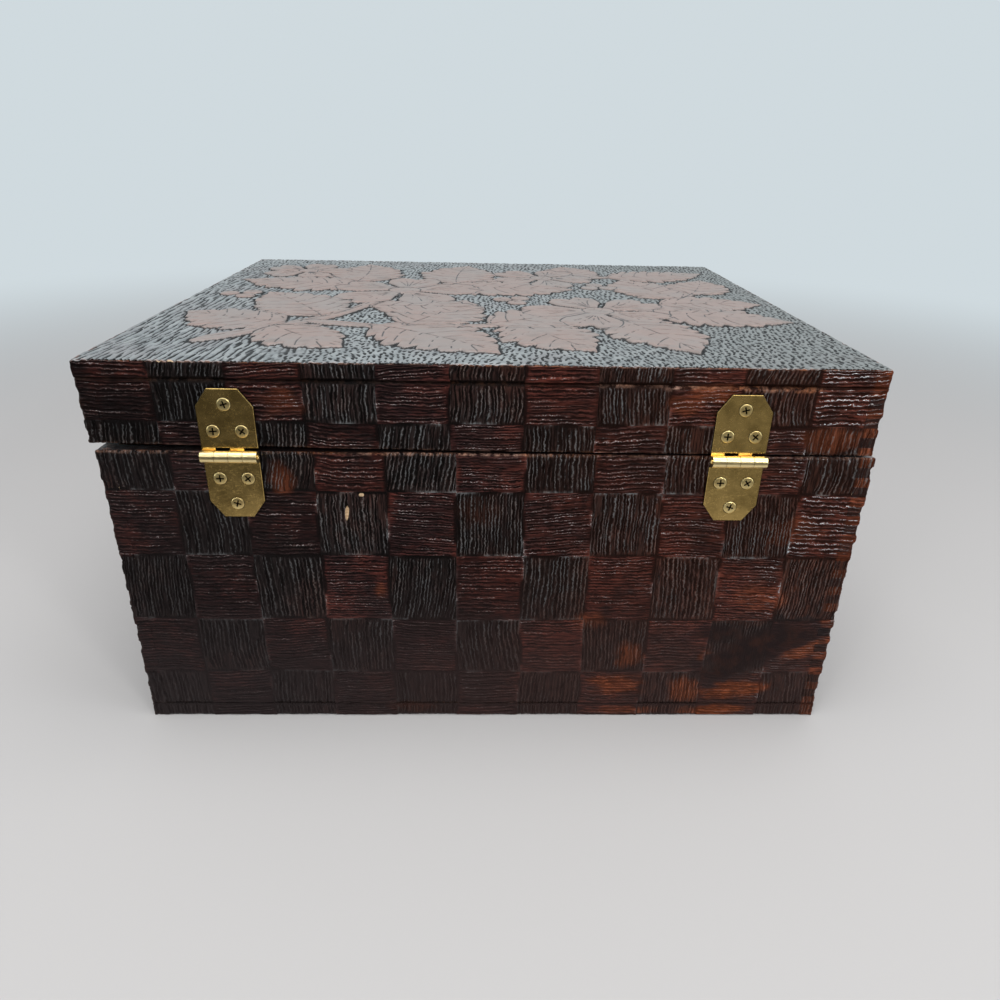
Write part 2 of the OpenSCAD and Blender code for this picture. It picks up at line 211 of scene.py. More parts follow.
def spot(u, z, centre, size, turn, seed):
    """A soft, ragged patch, from 0 to 1."""
    du, dz = u - centre[0], z - centre[1]
    c, s = math.cos(turn), math.sin(turn)
    p, q = (du * c + dz * s) / size[0], (dz * c - du * s) / size[1]
    return smooth(1.6 * (1 - np.hypot(p, q) - 0.35 * layers(u / 6, z / 4, seed)))


# Patches on the hinge side, in mm from its left corner and the table: place, size, turn, strength
RUSTY = [
    ((66, 112), (6, 8), 0.2, 0.6), ((244, 3), (18, 5), 0, 1), ((249, 15), (22, 8), 0.15, 0.9),
    ((229, 15), (10, 9), 0, 0.7), ((200, 17), (15, 9), 0, 0.75), ((203, 33), (8, 9), 0.1, 0.6),
    ((237, 31), (6, 7), 0.4, 0.8), ((275, 35), (13, 5), 0.3, 0.9), ((205, 3), (20, 4), 0, 0.6),
    ((256, 62), (20, 9), 0.05, 0.4), ((215, 143), (10, 6), 0, 0.7), ((226, 147), (12, 5), 0, 0.8),
    ((271, 130), (15, 7), 0, 0.6), ((140, 100), (14, 9), 0, 0.12), ((70, 142), (9, 7), 0, 0.35),
    ((262, 92), (16, 9), 0, 0.4), ((110, 5), (14, 4), 0, 0.3), ((186, 50), (9, 6), 0, 0.4),
    ((101, 64), (3, 4), 0, 0.45),
]
CHARRED = [
    ((258, 38), (30, 12), 0.42, 1), ((245, 27), (18, 9), 0.5, 0.9), ((240, 44), (16, 6), 0.1, 0.8),
    ((273, 44), (15, 8), 0.1, 0.6),
]
CHIPS = [
    ((89.7, 98.4), (0.88, 4.16), -0.08), ((95.4, 106.4), (1.44, 0.88), 0.3), ((30.9, 157.2), (1.92, 0.8), 0),
    ((34.7, 157.2), (1.44, 0.8), 0),
]
# Where the hinge side's edges are rubbed: the body's upper one, and the lid's upper one in two ways. Their pale
# lines are partly worn wood and partly a painted highlight along the arris.
RUBBED_BODY, RUBBED_LID, GLOSSY_LID = (92, 172, 8, 10), (180, 246, 6, 8), (203, 268, 8, 8)


def side_fields(plane, u, z, stops, row_slices, edges):
    """Depth and marks of one side's lattice. Edges gives the rounding and wear below and above."""
    low_edge, low_wear, high_edge, high_wear = edges
    length, columns = LENGTHS[plane], COLUMNS[plane]
    depth, hollow, strokes = np.zeros(z.shape), np.zeros(z.shape), np.zeros(z.shape + (3,))
    for c in range(columns):
        for r, j0, j1 in row_slices:
            part = np.s_[stops[c] : stops[c + 1] + 1, j0 : j1 + 1]
            cu, cz = u[part], z[part]
            u0, u1, z0, z1 = length * c / columns, length * (c + 1) / columns, ROWS[r], ROWS[r + 1]
            rng = np.random.default_rng([77, plane, c, r])
            fine = 0.78 if r < 2 else 1
            upright = is_upright(plane, c, r)
            if upright:
                across, along, width, span = cu - u0, cz - z0, u1 - u0, z1 - z0
                pitch = rng.uniform(1.15, 1.7)
                deep, lean, bow = 0.62 * fine, 0.035, 0.3
            else:
                across, along, width, span = cz - z0, cu - u0, z1 - z0, u1 - u0
                broad = plane == 0 and c > 9 and r > 1
                pitch = rng.uniform(1.75, 2.1) if broad else rng.uniform(1.1, 1.6)
                deep, lean, bow = (0.22 + 0.22 * pitch) * fine, 0.02, 0.25
            d, reach, number = grooves(across, along, width, span, rng, pitch, deep, lean, bow)
            strokes[part + (int(upright),)] = number
            ends = np.minimum(along, span - along)
            d = d + 0.12 * (1 - smooth(ends / 3)) + 0.1 * rng.random()
            fibre = layers(across / 0.8, along / 5, 140, 2)
            chop = noise(across / 0.45, along / 1.6, 143)
            d = d + 0.08 * (fibre + 1) + 0.07 * (noise(across / 2.1, along / 11, 144) + 1) + 0.05 * (chop + 1)
            # Borders between the cells
            border = np.full(cu.shape, 9.0)
            for gap, real in (
                (cu - u0, c > 0), (u1 - cu, c < columns - 1), (cz - z0, r > 0), (z1 - cz, r < len(ROWS) - 2)
            ):
                if real:
                    border = np.minimum(border, gap)
            wander = 0.14 * noise(cu / 3, cz / 3, 103)
            near = np.clip(1 - (border + np.where(border > 0.05, wander, 0)) / 0.5, 0, 1)
            rise = noise(cu / 6, cz / 6, 105)
            weight = near**1.2
            depth[part] = d * (1 - weight) + (0.4 + 0.3 * rise) * weight
            strokes[part + (2,)] = np.clip(reach, 0, 1) * (1 - weight)
            hollow[part] = 0.3 * (1 - np.clip(1.6 * reach, 0, 1)) * (1 - weight)
            hollow[part] += np.clip(0.35 + 0.9 * rise, -0.3, 1) * weight
    # Edges of the board above and below
    worn = np.clip(0.5 + 0.5 * layers(u / 9, z / 9, 109), 0, 1)
    lower, upper = z - z[:, :1], z[:, -1:] - z
    for gap, round_r, rubbed in ((lower, low_edge, low_wear), (upper, high_edge, high_wear)):
        r = round_r * (0.75 + 0.5 * worn)
        inside = np.clip(r - gap, 0, None)
        depth = depth + (r - np.sqrt(np.maximum(r**2 - inside**2, 0)))
        # A dark band in the hollow mark beside the edges that are not rubbed is painted shade in the seams and
        # along the table
        if rubbed < 0.3:
            hollow = np.maximum(hollow, bell(gap, 0.5))
    corner = np.minimum(u, length - u)
    wear = low_wear * bell(lower, 0.6) + high_wear * bell(upper, 0.6)
    wear = wear * smooth(worn * 1.6) + 0.35 * bell(corner, 0.6) * smooth(worn)
    # Pale rubbed lines on the hinge side's upper edges: partly wear, partly a painted highlight along the arris
    if plane == 0 and z.max() < BODY_TOP + 0.01:
        wear = wear * (0.45 + 1.1 * between(u, *RUBBED_BODY)) + 0.25 * wear * smooth((u - 225) / 20)
        wear = wear + 0.8 * wear * smooth((26 - u) / 8)
    elif plane == 0 and z.max() < LID_TOP + 0.01:
        wear = wear * (1 + 9 * between(u, *RUBBED_LID) * (upper < 1.5))
        wear = wear + 1.3 * between(u, *GLOSSY_LID) * smooth(worn * 1.8) * bell(upper - 0.9, 0.5)
    warm, char, bare = np.zeros(z.shape), np.zeros(z.shape), np.zeros(z.shape)
    if plane == 0:
        # The first term reddens the hinge side towards its right as painted light; the second warms the finger
        # ends at its right corner
        warm = 0.12 * smooth((u - 110) / 130) + 0.45 * smooth((u - length + WALL_T + 0.5) / 1.5)
        for k, (*patch, strength) in enumerate(RUSTY):
            warm = np.maximum(warm, strength * spot(u, z, *patch, 120 + k))
        for k, (*patch, strength) in enumerate(CHARRED):
            char = np.maximum(char, strength * spot(u, z, *patch, 150 + k))
        for k, patch in enumerate(CHIPS):
            chip = spot(u, z, *patch, 160 + k)
            bare = np.maximum(bare, chip)
            depth = depth + 0.45 * chip
    else:
        rng = np.random.default_rng([5, plane])
        for k in range(7):
            centre = (rng.uniform(10, length - 10), rng.uniform(4, 150))
            size = (rng.uniform(10, 26), rng.uniform(6, 12))
            warm = np.maximum(warm, rng.uniform(0.4, 0.8) * spot(u, z, centre, size, 0.2, 120 + k))
    depth = depth * (1 - 0.85 * char) + 0.2 * char
    hollow = hollow + (0.34 - hollow) * char
    strokes[..., 2] = strokes[..., 2] * (1 - 0.9 * char)
    marks = np.stack([hollow, wear, warm * (1 - char) - char, bare], -1)
    return {"depth": depth, "marks": marks, "strokes": strokes, "lower": lower, "upper": upper}


def ease(gap):
    return np.clip(1 - gap / EASE, 0, 1) ** 2


def arc(gap, r):
    """Depth of a rounded edge that two faces share, at a distance from the edge."""
    return r * (1 - np.sin(np.pi / 4 * (1 + np.clip(gap / r, 0, 1))))


def side_frame(plane, centre_x):
    """Corner, direction along and direction outwards of a side."""
    w, d = WIDTH / 2, DEPTH / 2
    origin = [(-w, -d), (w, -d), (w, d), (-w, d)][plane]
    along = [(1, 0), (0, 1), (-1, 0), (0, -1)]
    return np.array(origin) + (centre_x, 0), np.array(along[plane]), np.array(along[plane - 1])


def finger_steps(rows, zones, corner):
    """How far each row of a corner is set back, because the fingers' ends don't stand level."""
    rng = np.random.default_rng([77, corner, rows])
    step = np.zeros(rows)
    for k, (a, b) in enumerate(zip(zones, zones[1:])):
        step[a : b + 1] = rng.uniform(0.15, 0.95) if k % 2 else rng.uniform(0.0, 0.25)
        if (corner, k) == BROKEN_FINGER:
            step[a : b + 1] = BROKEN_BY
    return np.convolve(np.pad(step, 2, mode="edge"), np.ones(5) / 5, "valid")


def make_level(centre_x, heights, row_slices, edges, zones=(), top_drop=None, ragged=1.0, bend=0.75):
    """The four sides of one level: each with its lattice, its marks and its points in space."""
    sides = []
    for plane in range(4):
        places, stops = across_lines(plane)
        z = heights(plane, places)
        u = np.broadcast_to(places[:, None], z.shape)
        fields = side_fields(plane, u, z, stops, row_slices, edges)
        sides.append({"places": places, "stops": stops, "u": u, "z": z, **fields})
    # How far each corner is set back up the box, and the radius of its worn arris
    corners = []
    for plane, side in enumerate(sides):
        z = side["z"][0]
        nibble = 0.6 * np.clip(layers(z / 1.7, plane * 7.3, 900 + plane), 0, 1) ** 1.3
        r = bend * ARRIS * (1 + 0.4 * noise(z / 7, 3.0 * plane, 950))
        cut = np.maximum(sides[plane - 1]["depth"][-1], side["depth"][0])
        corners.append((ragged * (0.35 * cut + 0.7 * nibble) + finger_steps(len(z), zones, plane), r))
    for plane, side in enumerate(sides):
        length = LENGTHS[plane]
        u, z, lower, upper = side["u"], side["z"], side["lower"], side["upper"]
        left, left_r = corners[plane]
        right, right_r = corners[(plane + 1) % 4]
        e0, e1 = ease(u), ease(length - u)
        depth = side["depth"] * (1 - e0 - e1) + left * e0 + right * e1
        depth = depth + arc(u, left_r[None, :]) + arc(length - u, right_r[None, :])
        inner = between(u, WALL_T, length - WALL_T, 9, 9)
        du = WANDER * layers(u / 27, z / 24, 170, 2) * inner * smooth(lower / 3) * smooth(upper / 3)
        dz = WANDER * layers(u / 31, z / 22, 180, 2) * inner * smooth(lower / 8) * smooth(upper / 8)
        along_u = u + e0 * (left + arc(0, left_r)) - e1 * (right + arc(0, right_r)) + du
        up = z + dz
        if top_drop is not None:
            depth = depth + arc(upper, ARRIS)
            up = up - ease(upper) * top_drop[plane][:, None]
        origin, along, out = side_frame(plane, centre_x)
        flat = origin + along_u[..., None] * along - depth[..., None] * out
        side["point"] = np.concatenate([flat, up[..., None]], 2)
        side["depth"] = depth
    return sides


# Meshes from lattices

class Builder:
    """Collects points, faces and their marks for one mesh."""

    def __init__(self):
        self.points, self.marks, self.strokes, self.count = [], [], [], 0
        self.quads, self.quad_tags = [], []
        self.rings, self.ring_tags = [], []

    def add(self, points, marks, strokes=None):
        """Adds points, and returns their numbers. Marks are one row for each, or one for all."""
        points = np.asarray(points, float).reshape(-1, 3)
        marks = np.asarray(marks, float).reshape(-1, 4)
        self.points.append(points)
        self.marks.append(np.broadcast_to(marks, (len(points), 4)))
        self.strokes.append(np.zeros((len(points), 3)) if strokes is None else strokes)
        self.count += len(points)
        self.flat = None
        return np.arange(self.count - len(points), self.count)

    def ring(self, numbers, tag, facing=None):
        """Adds one face, turned to the side that it faces."""
        numbers = [n for k, n in enumerate(numbers) if n != numbers[k - 1]]
        if len(numbers) < 3:
            return
        if facing is not None:
            if self.flat is None:
                self.flat = np.concatenate(self.points)
            p = self.flat[numbers]
            if np.cross(p, np.roll(p, -1, 0)).sum(0) @ np.asarray(facing, float) < 0:
                numbers = numbers[::-1]
        self.rings.append(numbers)
        self.ring_tags.append(tag)

    def lattice(self, index, used, cols, rows, tag, skip=()):
        """Faces between these lines. Faces at the rim take in the neighbours' points."""
        a, b = len(cols) - 1, len(rows) - 1
        has_middle = a > 2 and b > 2
        if has_middle:
            c0, r0, c1, r1 = cols[1:-2], rows[1:-2], cols[2:-1], rows[2:-1]
            quads = [index[np.ix_(c, r)] for c, r in ((c0, r0), (c1, r0), (c1, r1), (c0, r1))]
            quads = np.stack(quads, -1).reshape(-1, 4)
            if skip:
                quads = quads[[(x, y) not in skip for x in range(1, a - 1) for y in range(1, b - 1)]]
            self.quads.append(quads)
            self.quad_tags.append(np.tile(tag, (len(quads), 1)))
        for x in range(a):
            for y in range(b):
                at_rim = x in (0, a - 1) or y in (0, b - 1)
                if (at_rim or not has_middle) and (x, y) not in skip:
                    self.ring(around(index, used, cols[x], cols[x + 1], rows[y], rows[y + 1]), tag)

    def mesh(self, name, materials):
        quads = np.concatenate(self.quads) if self.quads else np.zeros((0, 4), int)
        tags = np.concatenate([*self.quad_tags, np.array(self.ring_tags, float).reshape(-1, 4)])
        sizes = np.concatenate([np.full(len(quads), 4), [len(r) for r in self.rings]]).astype(int)
        loops = np.concatenate([quads.ravel(), *self.rings]).astype(np.int32)
        points = np.concatenate(self.points) * MM
        me = bpy.data.meshes.new(name)
        me.vertices.add(len(points))
        me.vertices.foreach_set("co", points.astype(np.float32).ravel())
        me.loops.add(len(loops))
        me.loops.foreach_set("vertex_index", loops)
        me.polygons.add(len(sizes))
        me.polygons.foreach_set("loop_start", (np.cumsum(sizes) - sizes).astype(np.int32))
        me.polygons.foreach_set("material_index", tags[:, 0].astype(np.int32))
        me.polygons.foreach_set("use_smooth", tags[:, 3] < PLAIN)
        me.update(calc_edges=True)

        def attribute(word, kind, domain, key, values):
            data = me.attributes.new(word, kind, domain).data
            data.foreach_set(key, np.asarray(values, np.float32).ravel())

        attribute("marks", "FLOAT_COLOR", "POINT", "color", np.concatenate(self.marks))
        attribute("strokes", "FLOAT_VECTOR", "POINT", "vector", np.concatenate(self.strokes))
        faces = (tags[:, 1], tags[:, 2], np.minimum(tags[:, 3], 1), tags[:, 3] > 1)
        for word, values in zip(("turn", "tone", "end", "plain"), faces):
            attribute(word, "FLOAT", "FACE", "value", values)
        for material in materials:
            me.materials.append(material)
        me.validate()
        return me


def around(index, used, i0, i1, j0, j1):
    """The lattice points in use round a face, from its lower left corner."""
    ring = [index[i, j0] for i in range(i0, i1) if used[i, j0]]
    ring += [index[i1, j] for j in range(j0, j1) if used[i1, j]]
    ring += [index[i, j1] for i in range(i1, i0, -1) if used[i, j1]]
    ring += [index[i0, j] for j in range(j1, j0, -1) if used[i0, j]]
    return ring


def spaced(first, last, step):
    """Line numbers from first to last, about step apart."""
    n = max(1, round((last - first) / step))
    return [int(k) for k in np.round(np.linspace(first, last, n + 1))]


def cell_rects(plane, stops, row_slices, shift):
    """The cells between a side's corner strips: line numbers across and up, and the tag of their faces."""
    for c in range(COLUMNS[plane]):
        i0, i1 = max(stops[c], STRIP), min(stops[c + 1], stops[-1] - STRIP)
        for r, j0, j1 in row_slices:
            upright = is_upright(plane, c, r)
            tone = np.random.default_rng([31, plane, c, r]).random()
            cols = spaced(i0, i1, 1 if upright else COARSE)
            rows = spaced(j0, j1, COARSE if upright else 1)
            yield [shift + i for i in cols], rows, cell_tag(plane, c, r, tone)


def in_use(shape, rects):
    """Which points of a lattice the faces of these cells use."""
    used = np.zeros(shape, bool)
    for cols, rows, _ in rects:
        used[np.ix_(cols, rows)] = True
    return used


def wall_mesh(name, sides, plane, zone_marks, row_slices, centre_x, materials):
    """One wall with its fingers, whose ends show on the neighbouring sides."""
    before, here, after = sides[plane - 1], sides[plane], sides[(plane + 1) % 4]
    places = here["places"]
    parts = ((before, np.s_[-1 - STRIP : -1]), (here, np.s_[:]), (after, np.s_[1 : STRIP + 1]))
    point, marks, strokes = (
        np.concatenate([side[key][part] for side, part in parts]) for key in ("point", "marks", "strokes")
    )
    total, rows = point.shape[:2]
    inner_left, inner_right, last = 2 * STRIP, len(places) - 1, total - 1
    zones = [(j0, j1, (k + plane) % 2 == 0) for k, (j0, j1) in enumerate(zip(zone_marks, zone_marks[1:]))]
    rects = list(cell_rects(plane, here["stops"], row_slices, STRIP))
    for j0, j1, finger in zones:
        if not finger:
            continue
        tone = np.random.default_rng([41, plane, j0]).random()
        row = [r for r, s, e in row_slices if s <= (j0 + j1) / 2 <= e][0]
        for a, b, end, column in (
            (0, STRIP, 1, -1), (STRIP, inner_left, 0, 0), (inner_right, last - STRIP, 0, COLUMNS[plane] - 1),
            (last - STRIP, last, 0.15 if plane == 3 else 1, COLUMNS[plane]),
        ):
            rects.append((range(a, b + 1), range(j0, j1 + 1), cell_tag(plane, column, row, tone, end)))
    used = in_use((total, rows), rects)
    index = np.full((total, rows), -1)
    build = Builder()
    index[used] = build.add(point[used], marks[used], strokes[used])
    # Hidden inner corners and the rims' middle points
    origin, along, out = side_frame(plane, centre_x)

    def behind(i, j, depth=WALL_T, mark=STAINED):
        """A new point at a depth behind a point of the side."""
        flat = origin + places[i - STRIP] * along - depth * out
        return build.add((*flat, point[i, j, 2]), mark)[0]

    left = {j: behind(inner_left, j) for j in zone_marks}
    right = {j: behind(inner_right, j) for j in zone_marks}
    rims = {}
    for j in (0, rows - 1):
        surface = [i for i in range(inner_left, inner_right + 1) if used[i, j]]
        # The stain reaches about 2 mm into the rim
        depths = 1.9 + 0.7 * layers(places[[i - STRIP for i in surface]] / 6, 3 * j, 333)
        middle = [behind(i, j, depth, (0.45, 0, 0, 0)) for i, depth in zip(surface, depths)]
        steps = spaced(0, len(surface) - 1, 8)
        rims[j] = (surface, middle, steps, [left[j]] + [behind(surface[k], j) for k in steps[1:-1]] + [right[j]])
    for cols, ups, tag in rects:
        build.lattice(index, used, cols, ups, tag)
    for j, (surface, middle, steps, inner) in rims.items():
        up = (0, 0, 1 if j else -1)
        for k in range(len(surface) - 1):
            build.ring([index[surface[k], j], index[surface[k + 1], j], middle[k + 1], middle[k]], RIM, up)
        for a, b, p, q in zip(steps, steps[1:], inner, inner[1:]):
            build.ring(middle[a : b + 1] + [q, p], RIM, up)
    for corner, i_in, strip, end, facing in (
        (left, inner_left, range(inner_left + 1), 0, -along),
        (right, inner_right, range(inner_right, total), -1, along),
    ):
        middles = {j: [rims[j][1][end]] if j in rims else [] for j in zone_marks}
        for j0, j1, finger in zones:
            if finger:
                for j, up in ((j0, -1), (j1, 1)):
                    face = [index[i, j] for i in strip if used[i, j]]
                    face = [corner[j]] + middles[j] + face if end else face + middles[j] + [corner[j]]
                    build.ring(face, NOTCH, (0, 0, up))
            else:
                face = [index[i_in, j] for j in range(j0, j1 + 1) if used[i_in, j]]
                face = middles[j0] + face + middles[j1] + [corner[j1], corner[j0]]
                build.ring(face, NOTCH, (*facing, 0))

    def finger_end(corner, i, a, b, finger, step):
        """From one inner corner to the next, round the finger's end where there is a finger."""
        end = [index[i, j] for j in range(a, b + step, step) if finger and used[i, j]]
        return [corner[a]] + end + [corner[b]]

    outline = list(rims[0][3])
    for j0, j1, finger in zones:
        outline += finger_end(right, last, j0, j1, finger, 1)
    outline += rims[rows - 1][3][::-1]
    for j0, j1, finger in reversed(zones):
        outline += finger_end(left, 0, j1, j0, finger, -1)
    build.ring(outline, INNER, (*-out, 0))
    return build.mesh(name, materials)


# The picture on the top board: the same stems, leaves, flowers and berries as in part.scad

STEMS = [
    ([(-112, -96), (-88, -70), (-64, -40), (-44, 16)], 8, 5),
    ([(-78, -58), (-34, -66), (12, -58), (52, -30), (90, -6), (114, 30)], 6.5, 3),
    ([(-40, 16), (-14, 44), (34, 64), (82, 74), (106, 88)], 6, 3),
    ([(-44, 22), (-72, 44), (-102, 76)], 5.5, 3.5),
]
# Place, direction, length, width and bend
LEAVES = [
    (-84, -62, 166, 50, 36, -0.006), (-72, -48, 116, 64, 42, 0.004), (-88, -68, -52, 46, 32, 0.005),
    (-48, -64, -30, 66, 40, -0.005), (-34, -64, 60, 60, 40, 0.004), (14, -56, -68, 52, 38, 0.005),
    (72, -18, -34, 68, 42, 0.005), (84, -10, 12, 50, 36, -0.005), (56, -40, -62, 66, 38, -0.004),
    (98, 6, 116, 58, 38, -0.004), (108, 20, 62, 46, 32, 0.006), (-22, 34, -14, 66, 40, 0.005),
    (-16, 42, 94, 62, 40, -0.005), (70, 72, 6, 62, 36, 0.006), (52, 66, 92, 42, 34, 0.003),
    (-60, 34, 182, 70, 40, -0.005), (-70, 42, 82, 62, 38, 0.005), (-54, -24, 4, 50, 34, -0.004),
    (0, -60, 30, 58, 36, 0.004),
]
# Place, turn and radius
BLOSSOMS = [(-42, 18, 12, 39), (52, -28, 40, 35), (32, 64, 66, 30), (-104, 78, 5, 26)]
BERRIES = [(8, -2), (15, -10), (17, 1), (-127, 3), (-118, -3), (-117, 7), (60, 44), (66, 35), (56, 34)]
BERRY_R = 4.6


def polar(radius, angle):
    return radius * math.cos(angle), radius * math.sin(angle)


def circle(radius, count, start=0):
    return [polar(radius, start + a) for a in np.linspace(0, 2 * math.pi, count + 1)[:-1]]


def turned(points, angle, place):
    c, s = math.cos(angle), math.sin(angle)
    return np.asarray(points) @ np.array([[c, s], [-s, c]]) + place


def bent(points, bend):
    """Points beside a straight midrib, moved beside a midrib that is an arc."""
    points = np.asarray(points, float)
    phi = bend * points[:, 0]
    mid = np.stack([np.sin(phi) / bend, (1 - np.cos(phi)) / bend], 1)
    return mid + points[:, 1:] * np.stack([-np.sin(phi), np.cos(phi)], 1)


def half_leaf(t, width):
    """Half the width of a leaf along its midrib, from 0 at the stem to 1 at the tip."""
    return width / 2 * np.sin(np.pi * np.clip(t, 0, 1) ** 0.86) ** 0.75


def toothed_leaf(x, y, angle, length, width, bend, seed):
    """Outline and veins of a toothed oval leaf."""
    rng = np.random.default_rng([61, seed])
    teeth = max(4, round(length / 9))
    pitch = 1 / (teeth + 0.5)
    sides = []
    for side in (1, -1):
        edge = [(0, 1.3), (0.25 * pitch, 1.9)]
        for k in range(teeth):
            t0, t1 = (k + 0.3) * pitch, (k + 1.3) * pitch
            spread = rng.uniform(0.9, 1.08)
            tip = half_leaf(min(t1, 0.985), width) * spread + rng.uniform(1.2, 2.6) * min(1, 5 * (1 - t1) + 0.1)
            notch, belly = t0 + 0.1 * pitch, t0 + 0.45 * pitch
            edge.append((notch, max(1.6, half_leaf(notch, width) * 0.80)))
            edge.append((belly, half_leaf(belly, width) * spread + 0.7))
            edge.append((t1 - 0.02 * pitch, tip))
        sides.append([(length * t, side * out) for t, out in edge])
    outline = sides[0] + [(length * 1.05, 0)] + sides[1][::-1]
    veins = [[(length * t, 0) for t in np.linspace(-0.02, 0.96, 14)]]
    for k in range(teeth):
        for side in (1, -1):
            t = (k + 0.15 + 0.1 * side) * pitch
            reach = side * half_leaf(min(0.96, t + 0.9 * pitch), width) * 0.86
            ways = np.linspace(0.02, 1, 6)
            veins.append([(length * (t + 1.05 * pitch * s**1.3), reach * s**0.9) for s in ways])
    shape = [turned(bent(line, bend), math.radians(angle), (x, y)) for line in [outline] + veins]
    return shape[0], shape[1:]


def blossom(x, y, turn, radius, seed):
    """Five notched petals, and a round middle."""
    rng = np.random.default_rng([67, seed])
    shapes = []

    def place(outline, veins, angle):
        shapes.append((turned(outline, angle, (x, y)), [turned(vein, angle, (x, y)) for vein in veins]))

    for k in (0, 2, 4, 1, 3):
        size = radius * rng.uniform(0.95, 1.04)
        edge = []
        for s in np.linspace(-1, 1, 23):
            far = size * (1 - 0.36 * abs(s) ** 3.5 - 0.15 * math.exp(-((s / 0.13) ** 2)))
            far += size * (0.02 * math.sin(17 * s + k) + rng.uniform(-0.012, 0.012))
            edge.append(polar(far, 0.56 * s))
        outline = [(radius * 0.1, -radius * 0.04), (radius * 0.36, -radius * 0.2)] + edge
        outline += [(radius * 0.36, radius * 0.2), (radius * 0.1, radius * 0.04)]
        ends = ((-0.42, 0.72), (-0.2, 0.84), (0.02, 0.7), (0.22, 0.83), (0.44, 0.7))
        veins = [[polar(size * t, a * t) for t in np.linspace(0.3, end, 5)] for a, end in ends]
        place(outline, veins, math.radians(turn + 72 * k))
    dots = []
    for k in range(7):
        dot = polar(radius * 0.055 * math.sqrt(k + 0.4), k * 2.4)
        dots.append([dot, (dot[0] + 0.4, dot[1] + 0.3)])
    place(circle(radius * 0.2, 19), dots, 0)
    return shapes


def ribbon(points, wide, narrow):
    """A stem along a smooth curve through the points, wide at its start."""
    points = np.array(points, float)
    fine = np.linspace(0, len(points) - 1, 12 * len(points))
    ghost = np.vstack([2 * points[0] - points[1], points, 2 * points[-1] - points[-2]])
    k = np.clip(fine.astype(int), 0, len(points) - 2)
    f = (fine - k)[:, None]
    p0, p1, p2, p3 = (ghost[k + n] for n in range(4))
    curve = 2 * p1 + (p2 - p0) * f + (2 * p0 - 5 * p1 + 4 * p2 - p3) * f**2 + (3 * p1 - p0 - 3 * p2 + p3) * f**3
    curve = 0.5 * curve
    way = np.gradient(curve, axis=0)
    side = np.stack([-way[:, 1], way[:, 0]], 1) / np.linalg.norm(way, axis=1)[:, None]
    half = (wide + (narrow - wide) * fine / fine[-1])[:, None] / 2
    half = half * (1 + 0.1 * np.sin(fine * 5.1))[:, None] * np.clip(fine / 0.25, 0.1, 1)[:, None] ** 0.5
    outline = np.vstack([curve + side * half, (curve - side * half)[::-1]])
    return outline, [curve[4:-4] + 0.18 * side[4:-4] * half[4:-4]]


def berry(x, y):
    mark = [(-0.3 * BERRY_R, 0.1 * BERRY_R), (0, 0.35 * BERRY_R), (0.3 * BERRY_R, 0.1 * BERRY_R)]
    return turned(circle(BERRY_R, 16), 0, (x, y)), [turned(mark, 0.4, (x, y))]


def design():
    """Stems, leaves, berries and blossoms, the lowest first, in mm from the board's centre."""
    shapes = [ribbon(*stem) for stem in STEMS]
    shapes += [toothed_leaf(*leaf, k) for k, leaf in enumerate(LEAVES)]
    shapes += [berry(*one) for one in BERRIES]
    for k, one in enumerate(BLOSSOMS):
        shapes += blossom(*one, k)
    return shapes


def segment_gap(x, y, a, b):
    """Squared distance from a segment."""
    d = b - a
    t = np.clip(((x - a[0]) * d[0] + (y - a[1]) * d[1]) / max(d @ d, 1e-9), 0, 1)
    return (x - a[0] - t * d[0]) ** 2 + (y - a[1] - t * d[1]) ** 2


def outline_gap(x, y, outline):
    """Distance inside an outline, which is negative outside."""
    best = np.full(x.shape, 1e9)
    inside = np.zeros(x.shape, bool)
    for a, b in zip(outline, np.roll(outline, -1, 0)):
        best = np.minimum(best, segment_gap(x, y, a, b))
        if a[1] != b[1]:
            crosses = (a[1] > y) != (b[1] > y)
            inside ^= crosses & (x < (b[0] - a[0]) * (y - a[1]) / (b[1] - a[1]) + a[0])
    return np.where(inside, 1, -1) * np.sqrt(best)


def tool_cuts(a, b, pitch, size, lean, seed, drops):
    """Depth and hollow of cuts in staggered rows: round drops, or long cuts that are steep on one side."""
    table = np.random.default_rng(seed).uniform(0, 1, (6, 131, 149))
    row = np.floor(b / pitch[1]).astype(int)
    depth, hollow = np.zeros(a.shape), np.zeros(a.shape)
    for dj in (-1, 0, 1):
        j = row + dj
        shift = 0.5 * (j % 2)
        first = np.floor(a / pitch[0] - shift).astype(int)
        for di in (-1, 0, 1):
            i = first + di
            r = table[:, i % 131, j % 149]
            p, q = a - (i + shift + 0.2 + 0.6 * r[0]) * pitch[0], b - (j + 0.22 + 0.56 * r[1]) * pitch[1]
            q = q - (r[2] - 0.5) * lean * p
            p = p / (size[0] * (0.75 + 0.5 * r[3]))
            wide = size[1] * (0.75 + 0.5 * r[4])
            if drops:
                near = np.clip(1 - np.hypot(p, q / (wide * (0.8 + 0.3 * np.clip(p, -1, 1)))), 0, 1)
                sunk = (0.55 + 0.45 * r[5]) * smooth(1.9 * near)
            else:
                t = q / (wide * np.sqrt(np.clip(1 - p**2, 0.02, 1)))
                near = np.clip(np.where(t < 0, 1 + t / 0.5, 1 - t), 0, 1) * (np.abs(p) < 1)
                sunk = (0.65 + 0.35 * r[5]) * smooth(1.25 * near) * smooth((1 - np.abs(p)) * 4)
            hollow = np.maximum(hollow, sunk)
            depth = np.maximum(depth, size[2] * (0.5 + 0.5 * r[5]) * (1 - (1 - near) ** 1.4))
    return depth, hollow


